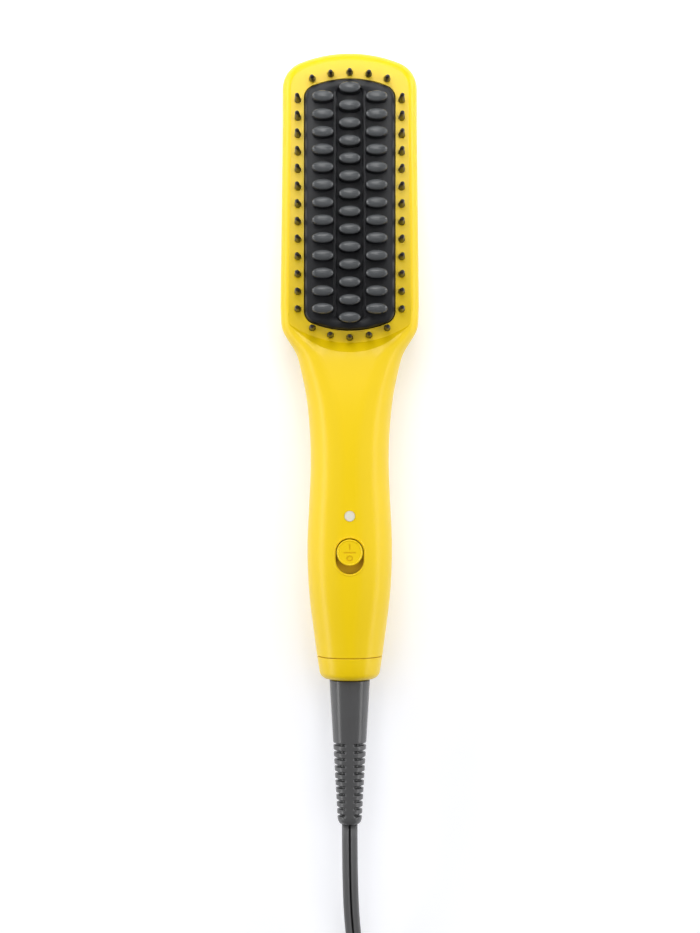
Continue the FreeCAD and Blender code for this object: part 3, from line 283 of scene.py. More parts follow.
def joined(name: str, helpers: Sequence[Piece]) -> Piece:
    """Join helper objects into one piece.

    Args:
        name: Name of the piece.
        helpers: Objects that it takes the place of.

    Returns:
        The new piece.
    """
    shape = bmesh.new()
    for helper in helpers:
        shape.from_mesh(helper.data)
        discard(helper)
    mesh = bpy.data.meshes.new(name)
    shape.to_mesh(mesh)
    shape.free()
    return add_object(name, mesh)


def bake(made: Piece) -> Piece:
    """Replace a piece's mesh by what its modifiers make of it.

    Args:
        made: Piece with modifiers.

    Returns:
        The same piece, with a plain mesh.
    """
    depsgraph = bpy.context.evaluated_depsgraph_get()
    mesh = bpy.data.meshes.new_from_object(made.evaluated_get(depsgraph))
    made.modifiers.clear()
    made.data = mesh
    return made


def mark_groove_shade(made: Piece, shade_shares: Sequence[float]) -> None:
    """Store how far each point of a piece lies down in a groove, from 0 to 1, which sets its painted shade."""
    made.data.attributes.new(GROOVE_SHADE, "FLOAT", "POINT").data.foreach_set("value", shade_shares)


def discard(made: Piece) -> None:
    """Remove a helper object."""
    bpy.data.objects.remove(made)


@dataclass(frozen=True)
class Finish:
    """A moulded or coated surface: an even colour that drifts a little, over a fine grain.

    The widths of the grain and the drift and the depth of the relief are in millimetres. Real grain is about a tenth
    of a millimetre wide, which is too fine to show, so it is drawn as coarse as it needs to be.
    """

    name: str
    colour: str
    roughness: float
    ior: float = 1.5
    metallic: float = 0.0
    grain: float = 0.9
    relief: float = 0.006
    tone: float = 0.04
    drift: float = 30.0
    wear: float = 0.1

    def build(self) -> bpy.types.Material:
        """Make the material.

        Returns:
            The finished material.
        """
        material = bpy.data.materials.new(self.name)
        material.use_nodes = True
        tree = material.node_tree
        tree.nodes.clear()
        place = add_node(tree, "ShaderNodeTexCoord").outputs["Object"]
        drift, wear, grain = (
            add_node(tree, "ShaderNodeTexNoise", {
                "Vector": place, "Scale": 1 / (width * MM), "Detail": detail}).outputs["Fac"]
            for width, detail in ((self.drift, 2.0), (self.drift / 3, 2.0), (self.grain, 3.0)))
        gloss = add_node(tree, "ShaderNodeMapRange", {
            "Value": wear, "To Min": self.roughness * (1 - self.wear), "To Max": self.roughness * (1 + self.wear)})
        bump = add_node(tree, "ShaderNodeBump", {"Height": grain, "Distance": self.relief * MM, "Strength": 1.0})
        shader = add_node(tree, "ShaderNodeBsdfPrincipled", {
            "Base Color": self.paint(tree, drift),
            "Roughness": gloss.outputs["Result"],
            "Normal": bump.outputs["Normal"],
            "Metallic": self.metallic,
            "IOR": self.ior,
            **self.extras(),
        })
        add_node(tree, "ShaderNodeOutputMaterial", {"Surface": shader.outputs["BSDF"]})
        return material

    def extras(self) -> dict[str, Any]:
        """Further plain values of the shader."""
        return {}

    def paint(self, tree: bpy.types.NodeTree, drift: Socket) -> Socket:
        """Add the colour.

        Args:
            tree: Tree of the material.
            drift: Value from 0 to 1 that the colour drifts with.

        Returns:
            The colour.
        """
        deep, pale = ((*(min(1.0, channel * share) for channel in linear(self.colour)[:3]), 1.0)
                      for share in (1 - self.tone, 1 + self.tone))
        mixed = add_node(tree, "ShaderNodeMix", {"Factor": drift, MIX_A: deep, MIX_B: pale}, data_type="RGBA")
        return mixed.outputs[MIX_RESULT]


@dataclass(frozen=True)
class PvcWithPaintedGrooveShade(Finish):
    """Soft PVC with painted shade that darkens its grooves."""

    # Colour of the painted shade deep in the grooves.
    groove: str = "#1B1B1C"

    def paint(self, tree: bpy.types.NodeTree, drift: Socket) -> Socket:
        """Add the colour, darkened by painted shade in the groove.

        Args:
            tree: Tree of the material.
            drift: Value from 0 to 1 that the colour drifts with.

        Returns:
            The colour.
        """
        # How deep each point lies in a groove, which mixes in the painted shade.
        depth = add_node(tree, "ShaderNodeAttribute", attribute_name=GROOVE_SHADE).outputs["Fac"]
        plain = super().paint(tree, drift)
        mixed = add_node(tree, "ShaderNodeMix", {"Factor": depth, MIX_A: plain, MIX_B: linear(self.groove)},
                         data_type="RGBA")
        return mixed.outputs[MIX_RESULT]


@dataclass(frozen=True)
class MilkyLens(Finish):
    """Milky light pipe."""

    depth: float = 1.0
    scatter: float = 0.5

    def extras(self) -> dict[str, Any]:
        """How much light scatters inside, and how far."""
        return {"Subsurface Weight": self.scatter, "Subsurface Scale": self.depth * MM}


@dataclass(frozen=True)
class ClearGlass(Finish):
    """Glass bead round a sensor."""

    through: float = 0.8

    def extras(self) -> dict[str, Any]:
        """How much light goes through."""
        return {"Transmission Weight": self.through}


class Surface(Enum):
    """Every finish of the brush."""

    # Glossy moulded ABS in solid yellow: a soft sheen that pales towards the sides, under a very fine grain.
    YELLOW_ABS = Finish("yellow_moulded_abs", "#F2CE04", 0.33, 1.48, grain=0.7, relief=0.002, tone=0.015)
    # The same ABS, eroded on the sliding cover and without sheen, its yellow deepened as painted shade of the slot.
    SHADED_COVER_ABS = Finish("eroded_yellow_abs_painted_shade", "#D0AC0A", 0.6, 1.5, grain=0.4, relief=0.010, tone=0.03)
    # Die-cast aluminium under a sprayed ceramic coat: dark, satin and faintly speckled.
    CERAMIC_COAT = Finish("ceramic_coated_plate", "#27282B", 0.48, 1.55, grain=0.5, relief=0.008, tone=0.12, drift=4)
    # Moulded heat-proof nylon of the pads: mid grey with a soft highlight.
    PAD_NYLON = Finish("moulded_nylon_pads", "#505254", 0.22, 1.53, grain=0.8, relief=0.0015, tone=0.04, drift=9)
    # Moulded nylon of the bristles: brown-black and satin.
    BRISTLE_NYLON = Finish("moulded_nylon_bristles", "#140F0D", 0.42, 1.53, grain=0.5, relief=0.004, tone=0.08)
    # Soft PVC of the plug: mid grey, satin, with a fine eroded texture.
    GREY_PVC = Finish("moulded_grey_pvc", "#525253", 0.38, 1.5, grain=0.5, relief=0.012, tone=0.06, drift=6)
    # Soft PVC of the boot: grey and satin, with nearly black shade in the grooves.
    BOOT_PVC = PvcWithPaintedGrooveShade("moulded_boot_pvc", "#555556", 0.25, 1.52, grain=0.5, relief=0.010, tone=0.06, drift=6)
    # Extruded PVC of the flat twin cord: grey and satin, with a line of painted shade between its two cores.
    CORD_PVC = PvcWithPaintedGrooveShade("extruded_cord_pvc", "#636364", 0.42, 1.5, grain=0.6, relief=0.008, tone=0.05, drift=8)
    # Milky polycarbonate of the light pipe: warm white, with light that glows a little way in.
    LENS = MilkyLens("milky_light_pipe", "#E6DFCE", 0.30, 1.58, grain=0.5, relief=0.0, tone=0.0)
    # Nylon strap round the hank: nearly black and dull, with a rough face.
    STRAP = Finish("nylon_strap", "#2B2C2E", 0.62, 1.5, grain=0.5, relief=0.05, tone=0.15, drift=2)
    # Rolled brass of the plug's blades and the slip rings: warm and bright.
    BRASS = Finish("rolled_brass", "#C3A255", 0.28, 1.5, 1.0, grain=0.4, relief=0.004, tone=0.06, drift=6)
    # Pressed steel of the clamp and the screws: grey with a soft shine.
    STEEL = Finish("pressed_steel", "#A9ABAD", 0.34, 1.5, 1.0, grain=0.5, relief=0.006, tone=0.06, drift=6)
    # Extruded aluminium of the heater cases: pale grey and satin.
    ALUMINIUM = Finish("extruded_aluminium", "#B9BCC0", 0.36, 1.5, 1.0, grain=0.6, relief=0.006, tone=0.05, drift=8)
    # Glass-filled plastic of the parts inside: nearly black, dull and a little mottled.
    DARK_PLASTIC = Finish("glass_filled_plastic", "#242526", 0.5, 1.5, grain=0.8, relief=0.01, tone=0.1, drift=6)
    # Polyimide film over the heating elements: amber and smooth.
    AMBER_FILM = Finish("polyimide_film", "#B06A18", 0.3, 1.6, grain=1.2, relief=0.003, tone=0.08, drift=12)
    # Silicone sleeves of the leads: off-white and dull.
    SILICONE = Finish("silicone_sleeve", "#E6E4DE", 0.5, 1.43, grain=0.6, relief=0.004, tone=0.04)
    # Solder mask on the board: green and glossy, uneven over the tracks.
    SOLDER_MASK = Finish("board_solder_mask", "#1F5B34", 0.35, 1.5, grain=0.5, relief=0.01, tone=0.15, drift=3)
    # Dipped case of the capacitor: ochre with a wet shine.
    DIPPED_CASE = Finish("dipped_capacitor_case", "#C98B1C", 0.3, 1.5, grain=1.0, relief=0.004, tone=0.05)
    # Glass of the temperature sensor: nearly clear and polished.
    GLASS = ClearGlass("sensor_glass", "#C9C4B5", 0.08, 1.5, grain=1.0, relief=0.0, tone=0.02)


class Finishes:
    """The materials, each made once."""

    def __init__(self) -> None:
        """Start with none made."""
        self._made: dict[Surface, bpy.types.Material] = {}

    def get(self, surface: Surface) -> bpy.types.Material:
        """Give a finish's material.

        Args:
            surface: The finish.

        Returns:
            Its material.
        """
        if surface not in self._made:
            self._made[surface] = surface.value.build()
        return self._made[surface]

    def dress(self, made: Piece, surface: Surface) -> Piece:
        """Give a piece one finish all over.

        Args:
            made: The piece.
            surface: Its finish.

        Returns:
            The same piece.
        """
        made.data.materials.clear()
        made.data.materials.append(self.get(surface))
        return made


@dataclass(frozen=True)
class Outline:
    """A flat outline that is the same left and right, with an arc across each end and rounded corners."""

    half_width: float
    low: float
    high: float
    low_arc: float
    high_arc: float
    corner: float
    fine: int = 10

    def points(self, grow: float = 0.0) -> list[Point2]:
        """Points round the outline, always equally many.

        Args:
            grow: Even margin that the outline grows by.

        Returns:
            Points in millimetres, anticlockwise.
        """
        half, corner = self.half_width + grow, self.corner + grow
        x = half - corner
        ends = []
        for apex, radius, side in ((self.low - grow, self.low_arc + grow, -1),
                                   (self.high + grow, self.high_arc + grow, 1)):
            rise = math.sqrt((radius - corner) ** 2 - x ** 2)
            hub = apex - side * radius
            ends.append((hub, radius, hub + side * rise, math.atan2(rise, x)))
        (low_hub, low_arc, low_y, low_turn), (high_hub, high_arc, high_y, high_turn) = ends
        sides = [low_y + (high_y - low_y) * step / self.fine for step in range(self.fine)]
        return [
            *arc((x, low_y), corner, -low_turn, 0.0, self.fine),
            *((half, y) for y in sides),
            *arc((x, high_y), corner, 0.0, high_turn, self.fine),
            *arc((0.0, high_hub), high_arc, high_turn, math.pi - high_turn, self.fine),
            *arc((-x, high_y), corner, math.pi - high_turn, math.pi, self.fine),
            *((-half, low_y + high_y - y) for y in sides),
            *arc((-x, low_y), corner, math.pi, math.pi + low_turn, self.fine),
            *arc((0.0, low_hub), low_arc, math.pi + low_turn, 2 * math.pi - low_turn, self.fine),
        ]

    def ring(self, z: float, grow: float = 0.0) -> Ring:
        """The outline at a height, grown by an even margin, in metres."""
        return [Vector((x, y, z)) * MM for x, y in self.points(grow)]


class SpotPattern:
    """A Geometry Nodes tree that sets one shape on every point of a mesh."""

    def __init__(self) -> None:
        """Build the tree with its named inputs."""
        self.tree = bpy.data.node_groups.new("shape_on_spots", "GeometryNodeTree")
        face = self.tree.interface
        face.new_socket("Spots", in_out="INPUT", socket_type="NodeSocketGeometry")
        face.new_socket("Shape", in_out="INPUT", socket_type="NodeSocketObject")
        for name in ("Length", "Width", "Height"):
            face.new_socket(name, in_out="INPUT", socket_type="NodeSocketFloat")
        face.new_socket("Finish", in_out="INPUT", socket_type="NodeSocketMaterial")
        face.new_socket("Pieces", in_out="OUTPUT", socket_type="NodeSocketGeometry")
        given = add_node(self.tree, "NodeGroupInput").outputs
        shape = add_node(self.tree, "GeometryNodeObjectInfo", {"Object": given["Shape"]})
        size = add_node(self.tree, "ShaderNodeCombineXYZ", {
            "X": given["Length"], "Y": given["Width"], "Z": given["Height"]})
        spread = add_node(self.tree, "GeometryNodeInstanceOnPoints", {
            "Points": given["Spots"], "Instance": shape.outputs["Geometry"], "Scale": size.outputs["Vector"]})
        real = add_node(self.tree, "GeometryNodeRealizeInstances", {"Geometry": spread.outputs["Instances"]})
        dressed = add_node(self.tree, "GeometryNodeSetMaterial", {
            "Geometry": real.outputs["Geometry"], "Material": given["Finish"]})
        add_node(self.tree, "NodeGroupOutput", {"Pieces": dressed.outputs["Geometry"]})

    def spread(self, name: str, spots: Sequence[Vector], shape: Piece, size: Vector,
               finish: bpy.types.Material) -> Piece:
        """Set a shape of unit size on every spot.

        Args:
            name: Name of the piece.
            spots: Places in metres.
            shape: Shape one unit long, wide and high.
            size: Length, width and height that it gets, in metres.
            finish: Material of the piece.

        Returns:
            The piece, as a plain mesh.
        """
        mesh = bpy.data.meshes.new(name)
        mesh.from_pydata([tuple(spot) for spot in spots], [], [])
        made = add_object(name, mesh)
        modifier = made.modifiers.new("spots", "NODES")
        modifier.node_group = self.tree
        values = {"Shape": shape, "Length": size.x, "Width": size.y, "Height": size.z, "Finish": finish}
        for item in self.tree.interface.items_tree:
            if item.name in values:
                modifier[item.identifier] = values[item.name]
        bake(made)
        made.data.materials.clear()
        made.data.materials.append(finish)
        return made


def unit_shape(name: str, profile: Sequence[Point2], count: int, power: float) -> Piece:
    """Make a shape one unit long, wide and high, round or oval in plan.

    Args:
        name: Name of the helper.
        profile: Share of the full width and share of the height of each ring, upwards.
        count: Points round each ring.
        power: 2 for an ellipse in plan, and more for fuller sides.

    Returns:
        The helper object.
    """
    plan = [(fuller(x, power) / 2, fuller(y, power) / 2) for x, y in circle(count, 0.5)]
    return loft(name, [[Vector((x * width, y * width, height)) for x, y in plan] for width, height in profile],
                sharp=60.0)


@dataclass
class CombPlate:
    """Heated plate with its comb teeth, and the pads on the teeth."""

    finishes: Finishes
    pattern: SpotPattern
    outline: Outline = Outline(16.75, 41.1, 134.7, 37.0, 37.0, 4.5)
    bottom: float = 16.4
    flange_top: float = 18.2
    flange: float = 2.6
    top: float = 24.2
    edge: float = 1.4
    edge_steps: int = 8
    pitch: float = 6.54
    spacing: float = 9.95
    rows: tuple[int, int, int] = (13, 14, 13)
    tooth: Vector = field(default_factory=lambda: Vector((7.3, 3.3, 7.9)))
    tooth_profile: tuple[Point2, ...] = ((1.16, 0.0), (1.05, 0.05), (1.0, 0.14), (0.97, 1.0))
    tooth_sides: int = 24
    tooth_power: float = 2.3
    pad: Vector = field(default_factory=lambda: Vector((8.0, 3.95, 1.9)))
    pad_foot: tuple[Point2, ...] = ((0.88, 0.0), (0.97, 0.06))
    pad_wall: float = 0.18
    pad_steps: int = 9
    pad_pole: Point2 = (0.04, 1.0)
    pad_sides: int = 28
    pad_power: float = 2.05
    pad_drop: float = 0.6
    valley: Outline = Outline(5.0, 44.2, 131.6, 33.0, 33.0, 2.0)
    valley_depth: float = 1.3
    valley_lip: float = 0.25
    valley_taper: float = 0.15
    rib_x: float = 5.5
    rib_half: Point2 = (0.6, 0.4)
    rib_profile: tuple[Point2, ...] = (
        (-1.0, 0.02), (-0.985, 0.7), (-0.96, 1.0), (0.96, 1.0), (0.985, 0.7), (1.0, 0.02))
    rib_sides: int = 16

    def columns(self) -> list[tuple[str, float, int]]:
        """Name, place across the brush and tooth count of each column."""
        return list(zip(("left", "centre", "right"), (-self.spacing, 0.0, self.spacing), self.rows))

    def spots(self, x: float, count: int, z: float) -> list[Vector]:
        """Feet of one column of teeth or pads at a height, in metres."""
        first = PLATE_Y - (count - 1) / 2 * self.pitch
        return [Vector((x, first + row * self.pitch, z)) * MM for row in range(count)]

    def build(self) -> list[Piece]:
        """Make the plate, its ribs, teeth and pads.

        Returns:
            The new pieces.
        """
        plate = self.plate()
        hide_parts("heater_plate")
        tooth = unit_shape("tooth_shape", self.tooth_profile, self.tooth_sides, self.tooth_power)
        coat = self.finishes.get(Surface.CERAMIC_COAT)
        made = [plate, self.ribs()]
        for name, x, count in self.columns():
            sink = 0.0 if x else self.valley_depth
            size = (self.tooth + Vector((0, 0, sink))) * MM
            feet = self.spots(x, count, self.top - sink)
            made.append(self.pattern.spread(f"teeth_{name}", feet, tooth, size, coat))
        discard(tooth)
        dome = [(width, self.pad_wall + (1 - self.pad_wall) * height)
                for width, height in arc((0.0, 0.0), 1.0, 0.0, math.pi / 2, self.pad_steps)]
        pad = unit_shape("pad_shape", [*self.pad_foot, *dome, self.pad_pole], self.pad_sides, self.pad_power)
        nylon = self.finishes.get(Surface.PAD_NYLON)
        pad_z = self.top + self.tooth.z - self.pad_drop
        for name, x, count in self.columns():
            pads = self.pattern.spread(f"pads_{name}", self.spots(x, count, pad_z), pad, self.pad * MM, nylon)
            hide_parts(f"pad_tips_{name}")
            made.append(pads)
        discard(pad)
        return [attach(piece, Body.HOUSING.value) for piece in made]

    def plate(self) -> Piece:
        """Make the plate with its hidden flange, its rounded border and the valley of its middle column.

        Returns:
            The plate.
        """
        rings = [self.outline.ring(self.bottom, self.flange), self.outline.ring(self.flange_top, self.flange),
                 self.outline.ring(self.flange_top)]
        for step in range(self.edge_steps + 1):
            turn = math.pi / 2 * step / self.edge_steps
            rings.append(self.outline.ring(self.top - self.edge * (1 - math.sin(turn)),
                                           -self.edge * (1 - math.cos(turn))))
        for sink, grow in ((0.0, self.valley_lip), (self.valley_lip, 0.0),
                           (self.valley_depth - self.valley_lip, -self.valley_taper),
                           (self.valley_depth, -self.valley_taper - self.valley_lip)):
            rings.append(self.valley.ring(self.top - sink, grow))
        return self.finishes.dress(loft("comb_plate", rings), Surface.CERAMIC_COAT)

    def ribs(self) -> Piece:
        """Make the two low ribs between the columns of teeth.

        Returns:
            The ribs, as one piece.
        """
        half_wide, high = self.rib_half
        reach = (max(self.rows) - 1) / 2 * self.pitch
        ribs = [loft("rib_shape", [
            [Vector((x + half_wide * grow * across, PLATE_Y + along * reach, self.top + high * grow * rise)) * MM
             for across, rise in circle(self.rib_sides)]
            for along, grow in self.rib_profile], sharp=180.0) for x in (-self.rib_x, self.rib_x)]
        return self.finishes.dress(joined("comb_ribs", ribs), Surface.CERAMIC_COAT)


@dataclass
class BristleRing:
    """Moulded ring behind the face, with its bristles."""

    finishes: Finishes
    pattern: SpotPattern
    outline: Outline = Outline(21.8, 35.8, 139.7, 31.4, 44.4, 6.9)
    window: Outline = Outline(17.15, 40.7, 135.1, 37.4, 37.4, 4.9)
    bottom: float = 18.2
    top: float = 20.0
    tip: float = 36.5
    width: float = 2.4
    column: float = 19.4
    pitch: float = 6.51
    rows: int = 13
    per_end: int = 5
    # Apex along the brush, radius, and degrees from one bristle to the next.
    step_arc: Point3 = (38.2, 29.0, 14.4)
    crown_arc: Point3 = (137.3, 42.0, 9.7)
    # How far the tips at the crown lean towards the handle.
    lean: float = 1.3
    sides: int = 16
    profile: tuple[Point2, ...] = (
        (1.0, 0.0), (0.99, 0.18), (0.90, 0.34), (0.78, 0.62), (0.68, 0.90), (0.62, 0.945), (0.50, 0.975),
        (0.30, 0.994), (0.10, 1.0))

    def side_spots(self) -> list[Vector]:
        """Feet of the bristles in both columns, in metres."""
        rows = [PLATE_Y + (row - (self.rows - 1) / 2) * self.pitch for row in range(self.rows)]
        return [Vector((side * self.column, y, self.top)) * MM for side in (-1, 1) for y in rows]

    def end_spots(self, apex: float, radius: float, degrees: float, side: int) -> list[Vector]:
        """Feet of the bristles across one end of the plate.

        Args:
            apex: Place of the middle one along the brush.
            radius: Radius of the arc that they stand on.
            degrees: Angle from one to the next.
            side: 1 for an arc that bulges towards the crown, and -1 towards the handle.

        Returns:
            Places in metres.
        """
        turns = [math.radians((index - (self.per_end - 1) / 2) * degrees) for index in range(self.per_end)]
        return [Vector((radius * math.sin(turn), apex - side * radius * (1 - math.cos(turn)), self.top)) * MM
                for turn in turns]

    def build(self) -> list[Piece]:
        """Make the ring and the bristles.

        Returns:
            The new pieces.
        """
        ring = loft("bristle_ring", [
            self.outline.ring(self.bottom), self.outline.ring(self.top), self.window.ring(self.top),
            self.window.ring(self.bottom)], caps=False, looped=True)
        self.finishes.dress(ring, Surface.BRISTLE_NYLON)
        nylon = self.finishes.get(Surface.BRISTLE_NYLON)
        size = Vector((self.width, self.width, self.tip - self.top)) * MM
        upright_one, leaning_one = (unit_shape(name, self.profile, self.sides, power=2.0)
                                    for name in ("bristle_shape", "leaning_bristle_shape"))
        for vertex in leaning_one.data.vertices:
            vertex.co.y -= self.lean / self.width * vertex.co.z
        feet = self.side_spots() + self.end_spots(*self.step_arc, -1)
        straight = self.pattern.spread("bristles", feet, upright_one, size, nylon)
        leaning = self.pattern.spread("crown_bristles", self.end_spots(*self.crown_arc, 1), leaning_one, size, nylon)
        discard(upright_one)
        discard(leaning_one)
        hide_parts("bristle_frame")
        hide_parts("bristles_left", "bristles_right", "bristles_step")
        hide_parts("bristles_crown")
        made = [ring, straight, leaning]
        for piece in made:
            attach(piece, Body.HOUSING.value)
        return made


@dataclass
class Housing:
    """Yellow shells, the cap at the cord's end and the rim of the button's slot."""

    finishes: Finishes
    nodes: dict[str, Piece]
    seam: float = -81.2
    seam_gap: float = 0.35
    seam_radius: float = 11.3
    cap_radius: float = 12.3
    end: float = -90.1
    end_radius: float = 11.0
    end_round: float = 3.2
    end_wall: float = 2.5
    bore: float = 5.35
    sleeve: float = 4.0
    sleeve_radius: float = 10.2
    sleeve_bore: float = 8.4
    edge: float = 0.3
    fine_edge: float = 0.2
    edge_steps: int = 8
    cap_sides: int = 96
    travel: float = 2.9
    slot_radius: float = 5.25
    # Distance from the slot and height over the shell.
    rim_profile: tuple[Point2, ...] = (
        (0.75, -0.25), (0.66, 0.10), (0.42, 0.22), (0.16, 0.12), (0.02, -0.25), (0.02, -1.2), (0.5, -1.2))
    rim_spokes: int = 64
    above: float = 40.0

    def build(self) -> list[Piece]:
        """Dress the shells and make the cap and the rim.

        Returns:
            The dressed and the new pieces.
        """
        shells = [self.finishes.dress(self.nodes[name], Surface.YELLOW_ABS) for name in ("front_shell", "rear_shell")]
        cap = self.cap()
        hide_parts("end_cap")
        made = [cap, self.rim()]
        for piece in made:
            self.finishes.dress(piece, Surface.YELLOW_ABS)
            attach(piece, Body.HOUSING.value)
        return shells + made

    def cap(self) -> Piece:
        """Make the cap, set off from the shells by a fine groove.

        Returns:
            The cap.
        """
        inner, shoulder, wall = self.seam + self.sleeve, self.seam - self.seam_gap, self.end + self.end_wall
        profile = rounded([
            (inner, self.sleeve_bore, 0), (inner, self.sleeve_radius, self.edge), (self.seam, self.sleeve_radius, 0),
            (self.seam, self.seam_radius, 0), (shoulder, self.seam_radius, 0),
            (shoulder, self.cap_radius, self.fine_edge), (self.end, self.end_radius, self.end_round),
            (self.end, self.bore, self.edge), (wall, self.bore, 0), (wall, self.sleeve_bore, 0),
            (inner, self.sleeve_bore, 0)], self.edge_steps)
        return loft("tail_cap", turned(profile, self.cap_sides), caps=False)

    def rim(self) -> Piece:
        """Make the bevelled rim round the button's slot, laid on the curved top of the shell.

        Returns:
            The rim.
        """
        shell = self.nodes["front_shell"].data
        tree = BVHTree.FromPolygons([v.co for v in shell.vertices], [p.vertices for p in shell.polygons])
        outer = self.slot_radius + self.rim_profile[0][0]
        rings = []
        for across, along in circle(self.rim_spokes):
            hub_y = BUTTON_Y if along >= 0 else BUTTON_Y - self.travel
            over = Vector((outer * across, hub_y + outer * along, self.above)) * MM
            height = tree.ray_cast(over, Vector((0, 0, -1)))[0].z / MM
            ring = []
            for grow, rise in self.rim_profile:
                radius = self.slot_radius + grow
                ring.append(Vector((radius * across, hub_y + radius * along, height + rise)) * MM)
            rings.append(ring)
        return loft("slot_rim", rings, caps=False, looped=True)


@dataclass
class SlideButton:
    """Round slide button with its engraved signs, on a cover that fills the slot."""

    finishes: Finishes
    radius: float = 4.85
    sides: int = 64
    top: float = 30.3
    edge: float = 0.3
    rim: float = 0.42
    dish: float = 0.18
    dish_edge: float = 0.1
    dish_slope: float = 0.2
    foot: float = 0.4
    cover_top: float = 25.8
    cover_bottom: float = 24.6
    cover: Point2 = (6.75, 8.75)
    corner_share: float = 0.45
    fine: int = 32
    stroke: float = 0.46
    sign_depth: float = 0.5
    sign_y: float = 2.15
    on_half: float = 0.95
    line_half: float = 2.3
    off_half: Point2 = (1.0, 0.85)

    def build(self) -> list[Piece]:
        """Make the button and its cover.

        Returns:
            The new pieces.
        """
        dish, foot, edge = self.top - self.dish, self.cover_top - self.foot, self.radius - self.rim
        profile = rounded([
            (POLE, foot, 0), (self.radius, foot, 0), (self.radius, self.top, self.edge),
            (edge, self.top, self.dish_edge), (edge - self.dish_slope, dish, self.dish_edge), (POLE, dish, 0)])
        button = loft("power_button", [
            [Vector((radius * x, BUTTON_Y + radius * y, z)) * MM for x, y in circle(self.sides)]
            for radius, z in profile])
        for cutter in self.signs():
            modifier = button.modifiers.new("engrave", "BOOLEAN")
            modifier.operation = "DIFFERENCE"
            modifier.solver = "EXACT"
            modifier.object = cutter
            bake(button)
            discard(cutter)
        button.data.set_sharp_from_angle(angle=math.radians(40))
        cover = self.bar("button_cover", self.cover, (self.cover_bottom, self.cover_top), 0.0)
        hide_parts("slide_button")
        made = [button, cover]
        # The cover gets the yellow deepened as painted shade of the slot that it lies in.
        for piece, surface in zip(made, (Surface.YELLOW_ABS, Surface.SHADED_COVER_ABS)):
            self.finishes.dress(piece, surface)
            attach(piece, Body.SLIDER.value)
        return made

    def bar(self, name: str, half: Point2, heights: Point2, y: float) -> Piece:
        """Make a block with rounded upright edges.

        Args:
            name: Name of the piece.
            half: Half its width and half its length.
            heights: Heights of its bottom and its top.
            y: Place of its middle along the brush, from the button's.

        Returns:
            The block.
        """
        line = oblong(*half, min(half) * self.corner_share, self.fine)
        return loft(name, [[Vector((x, BUTTON_Y + y + along, z)) * MM for x, along in line] for z in heights],
                    sharp=30.0)

    def signs(self) -> list[Piece]:
        """Make cutters for the bar of on, the dividing line and the ring of off.

        Returns:
            The cutters.
        """
        half = self.stroke / 2
        low, high = heights = (self.top - self.dish - self.sign_depth, self.top + 1.0)
        wide, tall = self.off_half
        ring = [[Vector(((wide + side) * across, BUTTON_Y - self.sign_y + (tall + side) * along, z)) * MM
                 for side, z in ((-half, low), (half, low), (half, high), (-half, high))]
                for across, along in circle(self.fine)]
        return [
            self.bar("sign_on", (half, self.on_half), heights, self.sign_y),
            self.bar("sign_line", (self.line_half, half), heights, 0.0),
            loft("sign_off", ring, caps=False, looped=True),
        ]


